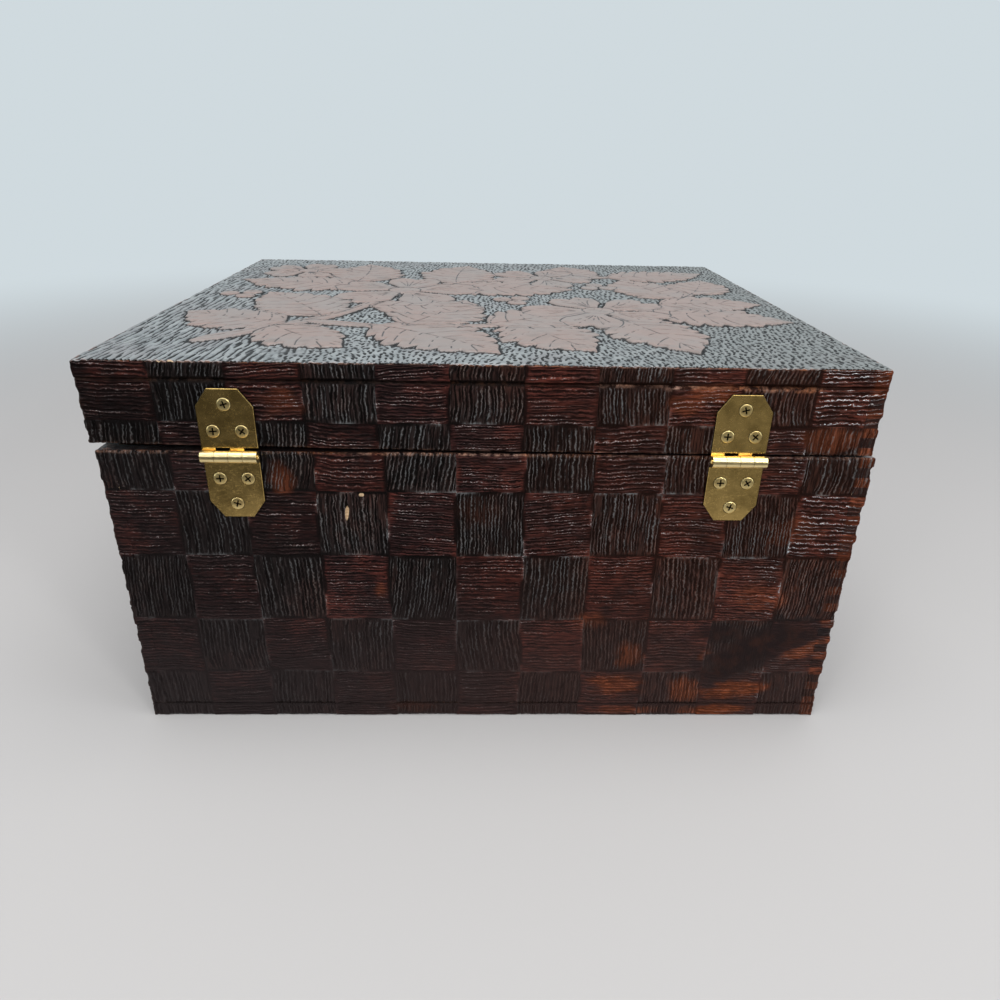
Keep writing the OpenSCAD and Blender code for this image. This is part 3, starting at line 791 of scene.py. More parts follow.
def tooled_ground(x, y):
    """Depth and hollow of the tool marks: long cuts on the hinge side's left, drops elsewhere."""
    c, s = polar(1, 1.52)
    a = x * c + y * s + 2.5 * noise(x / 38, y / 34, 411)
    b = y * c - x * s + 5.0 * noise(x / 48, y / 42, 412) + 0.7 * noise(x / 8, y / 10, 413)
    left = smooth(1.4 - np.hypot((x + 130) / 62, (y + 124) / 190) + 0.25 * noise(x / 9, y / 9, 414))
    long_depth, long_hollow = tool_cuts(a, b, (6.6, 2.75), (4.6, 1.35, 0.85), 0.16, 404, False)
    depth, hollow = tool_cuts(a, b, (3.3, 2.1), (1.9, 1.0, 0.75), 0.7, 405, True)
    return depth * (1 - left) + long_depth * left, hollow * (1 - left) + long_hollow * left


def carved_top(x, y):
    """Depth below the board's face, and hollow, wear, line and relief marks."""
    shape = x.shape
    x, y = x.ravel(), y.ravel()
    cut, hollow = tooled_ground(x, y)
    depth = GROUND_SUNK + cut + 0.1 * layers(x / 14, y / 14, 505)
    relief, line, fringe = np.zeros(x.shape), np.zeros(x.shape), np.zeros(x.shape)
    for outline, veins in SHAPES:
        low, high = outline.min(0) - 4.2, outline.max(0) + 4.2
        near = np.nonzero((x > low[0]) & (x < high[0]) & (y > low[1]) & (y < high[1]))[0]
        if not len(near):
            continue
        px, py = x[near], y[near]
        gap = outline_gap(px, py, outline)
        close = gap > -4
        near, px, py, gap = near[close], px[close], py[close], gap[close]
        vein = np.full(px.shape, 1e9)
        within = gap > 0
        for curve in veins:
            for a, b in zip(curve, curve[1:]):
                vein[within] = np.minimum(vein[within], segment_gap(px[within], py[within], a, b))
        vein = np.exp(-vein / 0.36**2) * smooth(0.75 + 0.9 * noise(px / 2.3, py / 2.3, 521))
        slope, face = smooth((gap + 0.55) / 0.95), smooth((gap + 0.2) / 0.4)
        beside = bell(gap + 0.5, 0.42) * (1 - face) * relief[near]
        # A ragged dark band of deeper cuts beside each raised shape
        reach = 0.7 + 4.2 * np.clip(0.5 + 0.5 * layers(px / 1.2, py / 2.2, 540, 2), 0, 1) ** 2
        fringe[near] = np.maximum(fringe[near], smooth(1.5 * (1 + gap / reach)) * (gap < 0.3))
        own = 0.06 + 0.2 * (1 - smooth(gap / 1.6)) + 0.3 * vein + 0.09 * (1 + layers(px / 6, py / 6, 520, 2))
        depth[near] = (depth[near] + 0.2 * beside) * (1 - slope) + own * slope
        line[near] = np.maximum(line[near] * (1 - face), np.maximum(vein * face, beside))
        relief[near] = relief[near] * (1 - face) + face
    fringe = fringe * (1 - relief)
    depth = depth + 0.22 * fringe
    hollow = np.maximum(hollow, fringe) * (1 - relief)
    edge = np.minimum(np.minimum(x + WIDTH / 2, WIDTH / 2 - x), np.minimum(y + DEPTH / 2, DEPTH / 2 - y))
    depth = depth * (0.72 + 0.28 * smooth(edge / 2.2)) + arc(edge, ARRIS)
    # The near left corner is worn round
    corner = np.hypot(np.clip(WIDTH / -2 + 9 - x, 0, None), np.clip(DEPTH / -2 + 7 - y, 0, None))
    depth = depth + 0.5 * smooth((corner - 7.5) / 4)
    ragged = 0.5 + 0.5 * layers(x / 6, y / 6, 531)
    wear = bell(edge, 0.8) * smooth(ragged * 1.5) + 0.7 * smooth((corner - 7) / 4)
    marks = np.stack([hollow, np.clip(wear, 0, 1), line, relief], -1)
    return depth.reshape(shape), marks.reshape(shape + (4,))


SHAPES = design()


# The flat boards

def board_ring(build, sides, row_slices):
    """The carved edge of a board all the way round: its points' numbers, and which of them are in use."""
    plans, index, used = [], [], []
    for plane, side in enumerate(sides):
        n, rows = side["z"].shape
        rects = list(cell_rects(plane, side["stops"], row_slices, 0))
        for a, column in ((0, 0), (n - 1 - STRIP, COLUMNS[plane] - 1)):
            tag = cell_tag(plane, column, row_slices[0][0], 0.4)
            rects.append((range(a, a + STRIP + 1), range(rows), tag))
        plans.append(rects)
        used.append(in_use((n, rows), rects))
        own = used[-1].copy()
        own[-1] = False
        index.append(np.full((n, rows), -1))
        index[-1][own] = build.add(side["point"][own], side["marks"][own], side["strokes"][own])
    for plane in range(4):
        index[plane][-1] = index[(plane + 1) % 4][0]
    for numbers, mask, rects in zip(index, used, plans):
        for cols, ups, tag in rects:
            build.lattice(numbers, mask, cols, ups, tag)
    return index, used


def framed_lattice(index, used, j, edges):
    """Numbers of a face's lattice points, of which the four edges have theirs, and which are in use."""
    shape = len(index[0]), len(index[1])
    numbers, taken = np.full(shape, -1), np.zeros(shape, bool)
    for plane, edge in enumerate(edges):
        numbers[edge], taken[edge] = index[plane][:, j], used[plane][:, j]
    return numbers, taken


def top_panel_mesh(name, sides, row_slices, centre_x, materials):
    build = Builder()
    index, used = board_ring(build, sides, row_slices)
    numbers, taken = framed_lattice(index, used, -1, (np.s_[:, 0], np.s_[-1, :], np.s_[::-1, -1], np.s_[0, ::-1]))
    cols, rows = range(len(numbers)), range(0, numbers.shape[1], 2)
    ci, ri = cols[1:-1], rows[1:-1]
    x, y = sides[0]["places"] - WIDTH / 2, sides[1]["places"] - DEPTH / 2
    gx, gy = np.meshgrid(x[ci], y[ri], indexing="ij")
    depth, marks = carved_top(gx, gy)
    back, right, front, left = (s["depth"][:, -1] for s in sides)
    px = gx + ease(gx + WIDTH / 2) * left[::-1][ri][None, :] - ease(WIDTH / 2 - gx) * right[ri][None, :]
    py = gy + ease(gy + DEPTH / 2) * back[ci][:, None] - ease(DEPTH / 2 - gy) * front[::-1][ci][:, None]
    points = np.stack([px + centre_x, py, BOX_TOP - depth], -1)
    inner = np.ix_(ci, ri)
    numbers[inner] = build.add(points, marks).reshape(gx.shape)
    taken[inner] = True
    build.lattice(numbers, taken, cols, rows, TOP)
    rim = [n[i, 0] for n, mask in zip(index, used) for i in range(len(n) - 1) if mask[i, 0]]
    build.ring(rim, UNDERSIDE, (0, 0, -1))
    return build.mesh(name, materials)


def bottom_panel_mesh(name, sides, row_slices, brads, materials):
    """The bottom board, seen from below, with a shallow pocket round each brad's head."""
    build = Builder()
    index, used = board_ring(build, sides, row_slices)
    numbers, taken = framed_lattice(index, used, 0, (np.s_[::-1, 0], np.s_[0, :], np.s_[:, -1], np.s_[-1, ::-1]))
    x, y = WIDTH / 2 - sides[0]["places"], sides[1]["places"] - DEPTH / 2

    def brad_lines(places, brads):
        """The outermost lines, and those beside the brads."""
        beside = {int(np.abs(places - (at + s * BRAD_SQUARE)).argmin()) for at in brads for s in (-1, 1)}
        return sorted(beside | {0, len(places) - 1})

    cols, rows = (brad_lines(places, along) for places, along in zip((x, y), zip(*brads)))
    inner = np.ix_(cols[1:-1], rows[1:-1])
    gx, gy = np.meshgrid(x[cols[1:-1]], y[rows[1:-1]], indexing="ij")
    numbers[inner] = build.add(np.stack([gx, gy, 0 * gx], -1), (0, 0, 0, 1)).reshape(gx.shape)
    taken[inner] = True
    down = (0, 0, -1)
    skip = set()
    for bx, by in brads:
        a, b = int((x[cols] > bx).sum()) - 1, int((y[rows] < by).sum()) - 1
        skip.add((a, b))
        round_it = np.array(circle(BRAD_HEAD_R, 24, math.pi / 4)) + (bx, by)
        lip = build.add(np.column_stack([round_it, np.zeros(24)]), (0.6, 0, 0, 1))
        floor = build.add(np.column_stack([round_it, np.full(24, BRAD_SUNK)]), (1, 0, 0, 1))
        quad = [numbers[cols[a + ca], rows[b + rb]] for ca, rb in ((0, 1), (1, 1), (1, 0), (0, 0))]
        for k in range(4):
            quarter = [lip[(6 * (k + 1) - m) % 24] for m in range(7)]
            build.ring([quad[k], quad[(k + 1) % 4]] + quarter, INNER, down)
        for k in range(24):
            build.ring([lip[k], lip[(k + 1) % 24], floor[(k + 1) % 24], floor[k]][::-1], INNER)
        build.ring(list(floor), INNER, down)
    build.lattice(numbers, taken, cols, rows, INNER, skip)
    w, d = WIDTH / 2 - INNER_INSET, DEPTH / 2 - INNER_INSET
    inner = build.add([(-w, -d, BASE_T), (w, -d, BASE_T), (w, d, BASE_T), (-w, d, BASE_T)], (0.5, 0, 0, 0))
    for k in range(4):
        edge = [index[k][i, -1] for i in range(len(index[k])) if used[k][i, -1]]
        build.ring(edge + [inner[(k + 1) % 4], inner[k]], RIM, (0, 0, 1))
    build.ring(list(inner), INNER, (0, 0, 1))
    return build.mesh(name, materials)


# Levels of the box

def level(heights):
    return lambda plane, places: np.tile(heights, (len(places), 1))


def lid_heights(plane, places):
    """Line heights of the lid, whose lower edge slopes."""
    stops, gaps = [
        ([0, WIDTH / 2, WIDTH], [GAP_LEFT, GAP_MIDDLE, GAP_RIGHT]), ([0, DEPTH], [GAP_RIGHT, GAP_FRONT]),
        ([0, WIDTH], [GAP_FRONT, GAP_FRONT]), ([0, DEPTH], [GAP_FRONT, GAP_LEFT]),
    ][plane]
    low = BODY_TOP + np.interp(places, stops, gaps)
    z = np.tile(LID_Z, (len(places), 1))
    n = LID_MARKS[1]
    z[:, : n + 1] = low[:, None] + (LID_Z[n] - low)[:, None] * np.arange(n + 1) / n
    return z


def edge_drop(plane):
    """Depth of the top board's face along one of its edges."""
    origin, along, _ = side_frame(plane, 0)
    at = origin + across_lines(plane)[0][:, None] * along
    return carved_top(at[:, 0], at[:, 1])[0]


# Materials

class Value:
    """A node's output. Sums, differences and products with it add Math nodes."""

    def __init__(self, nodes, socket):
        self.nodes, self.socket = nodes, socket

    def __add__(self, other):
        return self.nodes.math("ADD", self, other)

    def __sub__(self, other):
        return self.nodes.math("SUBTRACT", self, other)

    def __rsub__(self, other):
        return self.nodes.math("SUBTRACT", other, self)

    def __mul__(self, other):
        return self.nodes.math("MULTIPLY", self, other)

    __radd__ = __add__


class Nodes:
    """Short ways to write the nodes of a material or a world."""

    def __init__(self, owner, coordinates="Object"):
        owner.use_nodes = True
        self.owner, self.tree = owner, owner.node_tree
        self.tree.nodes.clear()
        self.place = self.add("TexCoord")[coordinates]

    def add(self, kind, inputs=(), **settings):
        """Adds a node, and returns its outputs by number and by name."""
        node = self.tree.nodes.new("ShaderNode" + kind)
        for key, value in settings.items():
            setattr(node, key, value)
        for key, value in dict(inputs).items():
            socket = node.inputs[key]
            if isinstance(value, Value):
                self.tree.links.new(value.socket, socket)
            elif socket.type == "RGBA":
                socket.default_value = (*value, 1)
            else:
                socket.default_value = value
        found = {}
        for k, socket in enumerate(node.outputs):
            found[k] = Value(self, socket)
            found.setdefault(socket.name, found[k])
        return found

    def math(self, operation, a, b=0.0, clamp=False):
        return self.add("Math", {0: a, 1: b}, operation=operation, use_clamp=clamp)[0]

    def mix(self, factor, a, b):
        return self.add("Mix", {0: factor, 6: a, 7: b}, data_type="RGBA")[2]

    def blend(self, factor, a, b):
        return self.add("Mix", {0: factor, 2: a, 3: b}, data_type="FLOAT")[0]

    def ramp(self, value, low, high, to_low=0.0, to_high=1.0):
        inputs = {"Value": value, "From Min": low, "From Max": high, "To Min": to_low, "To Max": to_high}
        return self.add("MapRange", inputs, interpolation_type="SMOOTHSTEP")[0]

    def scaled(self, vector, by):
        return self.add("VectorMath", {0: vector, 1: by}, operation="MULTIPLY")[0]

    def noise(self, scale, detail=2.0, rough=0.5, stretch=(1, 1, 1)):
        """Noise with bumps about 1/scale mm wide, before the stretch."""
        place = self.scaled(self.place, tuple(1000 * scale * s for s in stretch))
        return self.add("TexNoise", {"Vector": place, "Scale": 1.0, "Detail": detail, "Roughness": rough})["Fac"]

    def split(self, vector):
        parts = self.add("SeparateXYZ", {0: vector})
        return parts[0], parts[1], parts[2]

    def attribute(self, name):
        return self.add("Attribute", attribute_name=name, attribute_type="GEOMETRY")

    def marks(self):
        """The four numbers that each point carries."""
        marks = self.attribute("marks")
        parts = self.add("SeparateColor", {"Color": marks["Color"]})
        return parts[0], parts[1], parts[2], marks["Alpha"]

    def bump(self, height, strength, distance):
        return self.add("Bump", {"Height": height, "Strength": strength, "Distance": distance * MM})[0]

    def rays(self):
        """Whether a ray is a reflection, and whether it comes from the camera."""
        path = self.add("LightPath")
        return self.math("MAXIMUM", path["Is Glossy Ray"], path["Is Transmission Ray"]), path["Is Camera Ray"]

    def shaders(self, factor, first, second):
        return self.add("MixShader", {0: factor, 1: first, 2: second})[0]

    def finish(self, inputs):
        self.add("OutputMaterial", {"Surface": self.add("BsdfPrincipled", inputs)[0]})
        return self.owner


def material_nodes(name):
    return Nodes(bpy.data.materials.new(name))


def carved_wood():
    """Varnished wood, dark in the strokes, with red-brown, grey and white painted highlights on their crests."""
    n = material_nodes("carved_wood")
    sunk, wear, warm_or_char, bare = n.marks()
    warm, char = n.math("MAXIMUM", warm_or_char, 0.0), n.math("MAXIMUM", warm_or_char * -1.0, 0.0)
    turn, tone, end, plain = (n.attribute(word)["Fac"] for word in ("turn", "tone", "end", "plain"))
    x, y, z = n.split(n.place)
    # Across the strokes, from 0 at the crests to 1 in the middles
    level_count, upright_count, reach = n.split(n.attribute("strokes")["Vector"])
    number = n.blend(turn, level_count, upright_count) + n.ramp(n.noise(0.65, 2, 0.7), 0.2, 0.8, -0.22, 0.22)
    stripe = 1.0 - n.math("PINGPONG", number, 0.5) * 2.0
    hollow = stripe * (reach * (1.0 - plain)) + sunk

    def along_strokes(scale, stretch):
        """Noise drawn out along each cell's strokes."""
        level_lines = n.noise(scale, 2, 0.6, (stretch, stretch, 1))
        return n.blend(turn, level_lines, n.noise(scale, 2, 0.6, (1, 1, stretch)))

    fibre, choice = along_strokes(2.3, 0.07), along_strokes(0.42, 0.12)
    cloud, patch, speck = n.noise(0.045, 3, 0.55), n.noise(0.16, 3, 0.6), n.noise(1.1, 2, 0.6)
    # The red-brown tone varies at random, and grows towards the right end as painted light
    red = n.ramp(cloud * 0.75 + patch * 0.35 + n.ramp(x, -0.14, 0.10, -0.09, 0.03), 0.42, 0.72)
    level_ridge = n.mix(red, (0.0165, 0.0062, 0.0060), (0.066, 0.0155, 0.0110))
    upright_ridge = n.mix(red * 0.7, (0.0125, 0.0088, 0.0084), (0.033, 0.0130, 0.0100))
    ridge = n.mix(turn, level_ridge, upright_ridge)
    # Orange patches from the warm mark, whose gradient towards the hinge side's right is painted light
    ridge = n.mix(warm * n.ramp(patch, 0.3, 0.6, 0.45, 1.0), ridge, (0.19, 0.049, 0.0175))
    on_lid = n.ramp(z, 0.118, 0.126)
    shade = n.ramp(fibre, 0.36, 0.64, 0.3, 1.6) * (0.6 + tone * 0.7)
    # Painted shade: the lid's ridges grow darker towards its left end
    ridge = n.scaled(ridge, shade * n.blend(on_lid, 1.0, n.ramp(x, -0.145, -0.06, 0.5, 1.0)))
    deep = n.mix(red, (0.0042, 0.0022, 0.0021), (0.0100, 0.0036, 0.0030))
    deep = n.mix(warm, n.mix(turn, deep, (0.0034, 0.0025, 0.0023)), (0.080, 0.020, 0.0075))
    base = n.mix(n.ramp(hollow, 0.12, 0.62), ridge, deep)
    # Painted highlights on the crests, fewer near the table and at the left end
    low, left = n.ramp(z, 0.015, 0.125, 0.35, 1.0), n.ramp(x, -0.13, -0.045, 0.5, 1.0)
    picked = n.ramp(choice, 0.38, 0.60) * n.ramp(speck, 0.28, 0.50)
    crest_highlight = n.ramp(hollow, 0.03, 0.30, 1.0, 0.0) * low * picked * left
    level_highlight_tone = n.mix(red, (0.074, 0.040, 0.036), (0.150, 0.050, 0.034))
    upright_highlight_tone = n.mix(red, (0.132, 0.137, 0.138), (0.118, 0.084, 0.070))
    base = n.mix(crest_highlight * 0.85, base, n.mix(turn, level_highlight_tone, upright_highlight_tone))
    # Painted sheen near the table and on the body's left end: a dull greyish haze standing for the varnish's
    # reflection of the floor
    sheen_left_end = n.ramp(x, -0.12, -0.03, 0.16, 0.0) * (1.0 - on_lid)
    painted_sheen = n.math("MAXIMUM", n.ramp(z, 0.012, 0.085, 0.62, 0.0), sheen_left_end)
    sheen_tone = n.mix(n.ramp(x, -0.11, 0.02), (0.0245, 0.0180, 0.0180), (0.034, 0.0205, 0.0190))
    base = n.mix(painted_sheen * (1.0 - warm), base, sheen_tone)
    # White glints: dashes on the level crests, long ones at the right end, and thin ones along the cells' borders
    far_right = n.ramp(x, 0.108, 0.118) * n.ramp(y, -0.120, -0.117, 1.0, 0.0)
    pearl = n.ramp(hollow, 0.0, 0.17, 1.0, 0.0) * (1.0 - turn) * n.ramp(z, 0.03, 0.10, 0.15, 1.0)
    dash = n.ramp(choice + far_right * 0.06, 0.48, 0.60)
    bead = n.ramp(n.noise(1.6, 2, 0.6) + far_right * 0.08, 0.47, 0.62)
    base = n.mix(pearl * left * (dash * bead), base, n.mix(far_right, (0.42, 0.38, 0.37), (0.55, 0.58, 0.60)))
    rim = n.ramp(hollow * -1.0, 0.02, 0.12) * n.ramp(x, -0.06, 0.03, 0.15, 1.0)
    base = n.mix(rim * n.ramp(speck, 0.44, 0.60), base, (0.27, 0.27, 0.27))
    # Charred patches, end grain, rubbed edges (on the hinge side partly a painted highlight) and chips
    burnt = n.mix(n.ramp(patch, 0.4, 0.7, 0.0, 0.6), (0.0135, 0.0080, 0.0078), (0.036, 0.0140, 0.0095))
    base = n.mix(char * 0.9, base, burnt)
    base = n.mix(end * 0.72, base, (0.012, 0.009, 0.009))
    rub = n.math("MULTIPLY", wear, n.ramp(n.noise(0.35, 3, 0.7), 0.4, 0.68), clamp=True)
    base = n.mix(rub, base, n.mix(red, (0.34, 0.20, 0.15), (0.42, 0.15, 0.06)))
    raw = n.mix(n.ramp(n.noise(1.3, 3, 0.6, (0.09, 0.09, 1)), 0.3, 0.7), (0.42, 0.27, 0.15), (0.66, 0.49, 0.31))
    base = n.mix(n.ramp(bare, 0.3, 0.7), base, raw)
    # Varnish shines on the crests, most towards the hinge side's upper right
    gloss = low * n.ramp(x, 0.02, 0.12, 0.5, 1.0) * n.ramp(patch, 0.3, 0.6, 0.5, 1.0)
    coat = n.math("MULTIPLY", gloss * n.ramp(hollow, 0.03, 0.34, 1.0, 0.0), 1.0 - bare, clamp=True)
    return n.finish({
        "Base Color": base, "Roughness": n.blend(bare, n.ramp(n.noise(0.5, 3, 0.6), 0.3, 0.7, 0.36, 0.52), 0.7),
        "Normal": n.bump(fibre - hollow + n.noise(4, 2, 0.6) * 0.5, 1.0, 0.28),
        "Specular IOR Level": 0.05, "Coat Weight": coat, "Coat Roughness": 0.17, "Coat IOR": 1.5,
    })


def top_wood():
    """Tooled ground, dark in its hollows, and smooth pinkish-brown relief; the ground's pale grey-green and part
    of the relief's paleness are painted sheen.
    """
    n = material_nodes("top_wood")
    hollow, wear, line, relief = n.marks()
    grain = n.noise(0.9, 4, 0.6, (0.07, 1, 1))
    cloud, spread = n.noise(0.04, 3, 0.55), n.noise(0.22, 3, 0.6)
    # Painted sheen: the ground's pale grey-green stands for the varnish reflecting the pale backdrop, weaker
    # towards the right
    light = n.mix(n.ramp(spread, 0.35, 0.65), (0.165, 0.182, 0.188), (0.292, 0.316, 0.320))
    light = n.mix(n.ramp(cloud, 0.45, 0.7, 0.0, 0.45), light, (0.20, 0.185, 0.19))
    light = n.mix(n.ramp(n.split(n.place)[0], 0.0, 0.12, 0.0, 0.6), light, (0.13, 0.14, 0.132))
    ground = n.mix(n.ramp(hollow + grain * 0.2, 0.30, 0.72), light, (0.010, 0.011, 0.012))
    # The relief is painted paler in part as sheen
    raised = n.mix(n.ramp(grain, 0.3, 0.7), (0.248, 0.178, 0.154), (0.322, 0.240, 0.212))
    raised = n.mix(n.ramp(cloud, 0.40, 0.68, 0.0, 0.6), raised, (0.255, 0.235, 0.222))
    raised = n.mix(n.ramp(n.noise(0.11, 4, 0.65), 0.50, 0.72, 0.0, 0.55), raised, (0.165, 0.135, 0.120))
    base = n.mix(relief, ground, raised)
    base = n.mix(n.ramp(line, 0.25, 0.8), base, (0.016, 0.016, 0.018))
    rub = n.math("MULTIPLY", wear, n.ramp(n.noise(0.4, 3, 0.7), 0.38, 0.62), clamp=True)
    rough = n.blend(relief, n.ramp(spread, 0.3, 0.7, 0.36, 0.50), n.ramp(grain, 0.3, 0.7, 0.42, 0.56))
    return n.finish({
        "Base Color": n.mix(rub, base, (0.36, 0.25, 0.22)), "Roughness": rough + hollow * 0.3,
        "Normal": n.bump(n.noise(3.2, 3, 0.7) + grain, 0.25, 0.1),
        "Specular IOR Level": 0.4, "Coat Weight": n.ramp(hollow, 0.2, 0.7, 0.3, 0.0), "Coat Roughness": 0.34,
    })


def bare_wood(name, stretch):
    n = material_nodes(name)
    grain = n.noise(1.1, 4, 0.65, stretch)
    pores = n.noise(3.5, 2, 0.6, tuple(s * 0.7 for s in stretch))
    base = n.mix(n.ramp(grain, 0.3, 0.72), (0.47, 0.325, 0.19), (0.62, 0.47, 0.30))
    base = n.mix(n.ramp(pores, 0.6, 0.75, 0.0, 0.6), base, (0.30, 0.19, 0.10))
    base = n.mix(n.ramp(n.noise(0.03, 3, 0.5), 0.45, 0.75, 0.0, 0.35), base, (0.42, 0.27, 0.16))
    return n.finish({
        "Base Color": base, "Roughness": n.ramp(grain, 0.3, 0.7, 0.55, 0.7),
        "Normal": n.bump(grain + pores, 0.3, 0.12),
    })


def brass(name, light, dark, rough, scratch, sunk=None, rubbed=None):
    """Brass with painted shade between the two Y places given as sunk, and a pale painted highlight between those
    given as rubbed.
    """
    n = material_nodes(name)
    tarnish = n.noise(0.9, 4, 0.7)
    brushed, nick = n.noise(6.0, 2, 0.5, (0.25, 1, 1)), n.noise(2.2, 2, 0.4, (0.15, 1, 1.4))
    base = n.mix(n.ramp(n.noise(0.18, 3, 0.6), 0.35, 0.7), light, dark)
    base = n.mix(n.ramp(tarnish, 0.62, 0.78, 0.0, 0.55), base, (0.30, 0.17, 0.06))
    rough_at = n.ramp(tarnish, 0.4, 0.8, rough, rough + 0.16) + n.ramp(nick, 0.66, 0.74, 0.0, 0.1)
    back = n.split(n.place)[1]
    # A pale painted highlight on the barrel's knuckles, with rougher brass
    if rubbed:
        shine = n.ramp(back, rubbed[0] * MM, rubbed[1] * MM, 1.0, 0.0)
        base = n.mix(shine * 0.8, base, (0.97, 0.80, 0.43))
        rough_at = rough_at + shine * 0.12
    # Painted shade in the recesses: near-black, rougher brass
    if sunk:
        recess_shade = n.ramp(back, sunk[0] * MM, sunk[1] * MM)
        base = n.mix(recess_shade, base, (0.035, 0.022, 0.010))
        rough_at = rough_at + recess_shade * 0.35
    return n.finish({
        "Base Color": base, "Metallic": 1.0, "Roughness": rough_at,
        "Normal": n.bump(brushed + n.ramp(nick, 0.6, 0.7) * 1.5, scratch, 0.03),
    })


def steel():
    n = material_nodes("brad_steel")
    spots = n.noise(1.4, 4, 0.7)
    return n.finish({
        "Base Color": n.mix(n.ramp(spots, 0.45, 0.7), (0.42, 0.40, 0.38), (0.17, 0.12, 0.09)), "Metallic": 1.0,
        "Roughness": n.ramp(spots, 0.4, 0.75, 0.38, 0.7), "Normal": n.bump(spots, 0.3, 0.05),
    })


# The pieces

def new_object(name, data):
    ob = bpy.data.objects.new(name, data)
    bpy.context.scene.collection.objects.link(ob)
    return ob


def put(me, body, slot, *nodes):
    """A piece that stands for CAD nodes and rides on a body."""
    ob = new_object(me.name, me)
    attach(ob, body)
    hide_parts(*nodes)


CARVED, TOP_FACE = carved_wood(), top_wood()
BARE = [bare_wood("bare_wood_long", (0.06, 0.7, 1)), bare_wood("bare_wood_short", (0.7, 0.06, 1))]

body_slices, lid_slices = slices(BODY_Z, range(5)), slices(LID_Z, (4, 5))
base_slices, top_slices = [(0, 0, len(BASE_Z) - 1)], [(6, 0, len(TOP_Z) - 1)]
body_sides = make_level(0, level(BODY_Z), body_slices, (0.3, 0.1, 0.65, 0.85), BODY_MARKS)
lid_sides = make_level(LID_SHIFT, lid_heights, lid_slices, (0.55, 0.3, 0.65, 0.08), LID_MARKS)
base_sides = make_level(0, level(BASE_Z), base_slices, (0.8, 0.25, 0.25, 0.0))
top_drop = [edge_drop(plane) for plane in range(4)]
top_sides = make_level(
    LID_SHIFT, level(TOP_Z), top_slices, (0.65, 0.05, 0.0, 0.8), top_drop=top_drop, ragged=0.3, bend=1.5
)

for body, sides, zone_marks, rows, centre in (
    ("body", body_sides, BODY_MARKS, body_slices, 0), ("lid", lid_sides, LID_MARKS, lid_slices, LID_SHIFT)
):
    for plane, word in enumerate(("back", "right", "front", "left")):
        node = f"{body}_{word}_wall"
        me = wall_mesh(f"carved_{node}", sides, plane, zone_marks, rows, centre, [CARVED, BARE[plane % 2]])
        put(me, body, "carved_wall", node)

brad_x, brad_y = WIDTH / 2 - BRAD_INSET, DEPTH / 2 - BRAD_INSET
brads = [(x, s * (DEPTH / 2 - WALL_T / 2)) for x in np.linspace(-brad_x, brad_x, 4) for s in (-1, 1)]
brads += [(s * (WIDTH / 2 - WALL_T / 2), y) for y in np.linspace(-brad_y, brad_y, 3) for s in (-1, 1)]
me = bottom_panel_mesh("carved_bottom_panel", base_sides, base_slices, brads, [CARVED, BARE[0]])
put(me, "body", "bottom_board", "bottom_panel")
me = top_panel_mesh("carved_top_panel", top_sides, top_slices, LID_SHIFT, [CARVED, TOP_FACE, BARE[0]])
put(me, "lid", "top_board", "top_panel")

# The CAD nodes that keep their shape, by the last word of their names
METALS = {
    # The leaf's two Y spans are painted shade in its countersinks and a painted highlight on its knuckles; the
    # screws' span is painted shade in their cross recesses
    "leaf": brass(
        "brass_leaf", (0.88, 0.60, 0.21), (0.58, 0.39, 0.13), 0.17, 0.1, (-124.84, -124.7), (-125.9, -125.4)
    ),
    "pin": brass("brass_pin", (0.85, 0.62, 0.25), (0.72, 0.46, 0.16), 0.16, 0.15),
    "screws": brass("brass_screw", (0.95, 0.75, 0.34), (0.82, 0.60, 0.25), 0.31, 0.2, (-125.05, -124.92)),
    "brads": steel(),
}
for name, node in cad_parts.items():
    metal = METALS.get(name.split("_")[-1])
    if metal:
        node.data.materials.clear()
        node.data.materials.append(metal)


# Camera, light and floor

FOCAL_LENGTH = 742.5 / 1000
CAMERA_PLACE = (-0.0044, -0.3767, 0.2256)
CAMERA_TURNS = (("Z", -1.801), ("X", -25.458), ("Y", -1.266))
BACKDROP, HAZE = (0.63, 0.70, 0.735), (0.17, 0.17, 0.162)
DIM, SIDES, CEILING = (0.075, 0.075, 0.072), (0.30, 0.35, 0.40), (1.35, 1.38, 1.40)


def place_camera():
    """The photograph's camera. Its focal length is a share of the picture's width."""
    data = bpy.data.cameras.new("camera")
    data.sensor_width, data.sensor_fit = 36, "HORIZONTAL"
    data.lens, data.shift_y, data.clip_start = 36 * FOCAL_LENGTH, -0.001, 0.01
    camera = new_object("camera", data)
    turn = Matrix.Identity(3)
    for axis, angle in CAMERA_TURNS:
        turn = turn @ Matrix.Rotation(math.radians(angle), 3, axis)
    right, forward, up = turn.col
    camera.matrix_world = Matrix((right, up, -forward)).transposed().to_4x4()
    camera.location = CAMERA_PLACE
    bpy.context.scene.camera = camera


def lamp(name, place, target, size, power, tint=(1, 1, 1), mirrored=True):
    data = bpy.data.lights.new(name, "AREA")
    data.shape, data.size, data.size_y = "RECTANGLE", size[0], size[1]
    data.energy, data.color = power, tint
    ob = new_object(name, data)
    ob.location = place
    ob.visible_camera, ob.visible_glossy = False, mirrored
    ob.rotation_euler = (Vector(target) - Vector(place)).to_track_quat("-Z", "Y").to_euler()


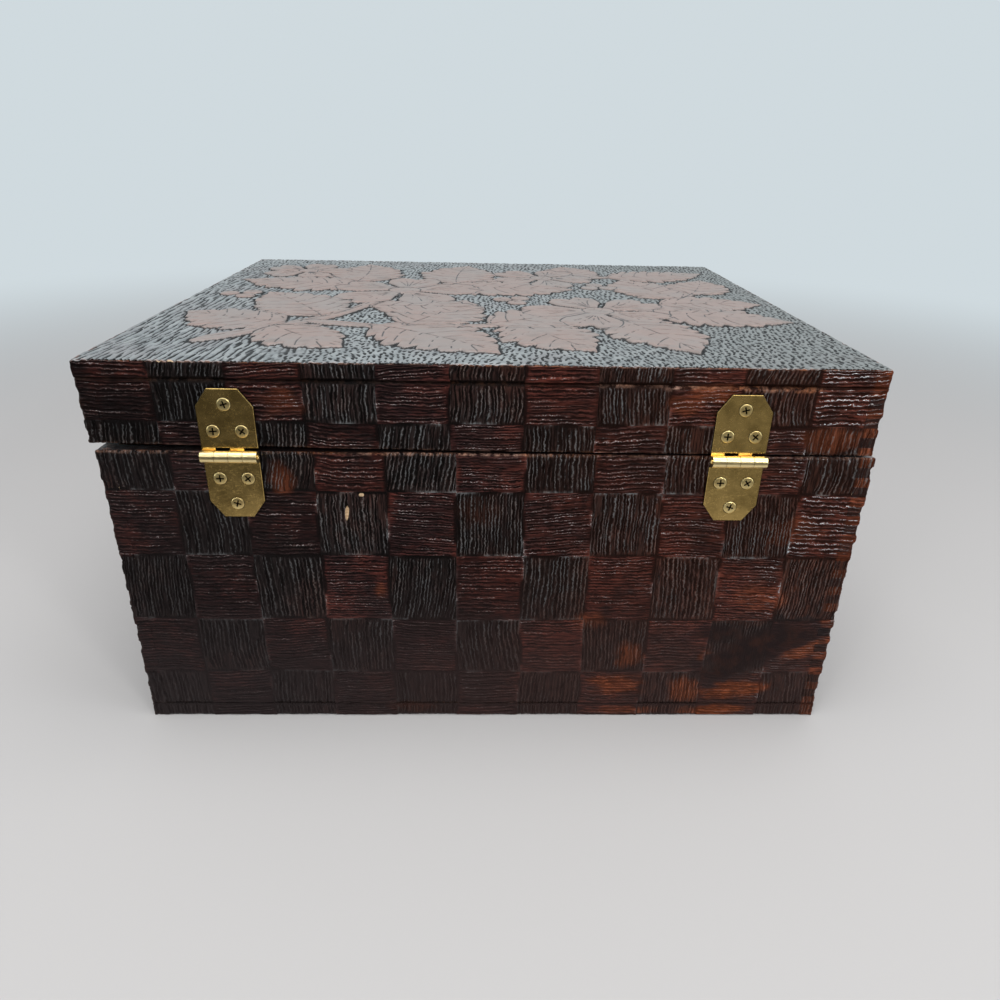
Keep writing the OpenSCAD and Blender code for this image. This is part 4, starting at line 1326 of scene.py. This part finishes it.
def set_world():
    """Soft light all round. Reflections see a bright wall behind, softer sides and a dim front."""
    world = bpy.data.worlds.new("world")
    bpy.context.scene.world = world
    n = Nodes(world, "Generated")
    x, y, z = n.split(n.place)
    room = n.mix(n.ramp(n.math("ABSOLUTE", x), 0.35, 0.8), DIM, SIDES)
    room = n.mix(n.ramp(z, 0.50, 0.80), room, CEILING)
    room = n.mix(n.ramp(y, -0.1, 0.4), room, BACKDROP)
    mirror, camera = n.rays()
    light = n.add("Background", {"Color": (0.93, 0.96, 1.0), "Strength": 0.45})[0]
    show = n.add("Background", {"Color": n.mix(mirror, BACKDROP, room), "Strength": 1.0})[0]
    n.add("OutputWorld", {0: n.shaders(n.math("MAXIMUM", mirror, camera), light, show)})


def make_floor():
    """A plain pale floor. Its far parts take the backdrop's colour, and are dim in reflections."""
    n = material_nodes("floor")
    far = n.add("VectorMath", {0: n.place}, operation="LENGTH")["Value"]
    mirror, camera = n.rays()
    matt = n.add("BsdfDiffuse", {"Color": (0.57, 0.555, 0.545)})[0]
    glow = n.add("Emission", {"Color": BACKDROP})[0]
    dim = n.add("Emission", {"Color": n.mix(n.ramp(n.split(n.place)[0], 0.0, 0.22), DIM, HAZE)})[0]
    shown = n.shaders(n.ramp(far, 0.32, 1.3) * camera, matt, glow)
    n.add("OutputMaterial", {"Surface": n.shaders(n.ramp(far, 0.26, 0.40) * mirror, shown, dim)})
    me = bpy.data.meshes.new("floor")
    me.from_pydata([(*point, 0) for point in circle(3, 64)], [], [list(range(64))])
    me.materials.append(n.owner)
    ob = new_object("floor", me)


place_camera()
set_world()
make_floor()
lamp("overhead", (0.05, -0.15, 1.0), (0, 0, 0.1), (0.9, 0.5), 4.8)
lamp("front_fill", (-0.5, -1.2, 0.8), (0, 0, 0.08), (1.3, 1.0), 6.8, mirrored=False)
lamp("streak", (0.58, -0.85, 0.60), (0.12, -0.12, 0.13), (0.12, 0.06), 1.5)
lamp("window", (0.42, -0.95, 0.85), (0.05, -0.1, 0.1), (0.45, 0.3), 1.6)
lamp("streak_left", (-0.52, -0.87, 0.60), (-0.12, -0.12, 0.12), (0.12, 0.06), 0.7)
lamp("left_side", (-0.95, -0.55, 0.22), (0, -0.1, 0.08), (0.3, 0.5), 1.3, (0.85, 0.93, 1.0))
lamp("right_side", (0.95, -0.5, 0.25), (0, -0.1, 0.08), (0.3, 0.5), 1.3, (0.85, 0.93, 1.0))
bpy.context.scene.view_settings.view_transform = "Standard"
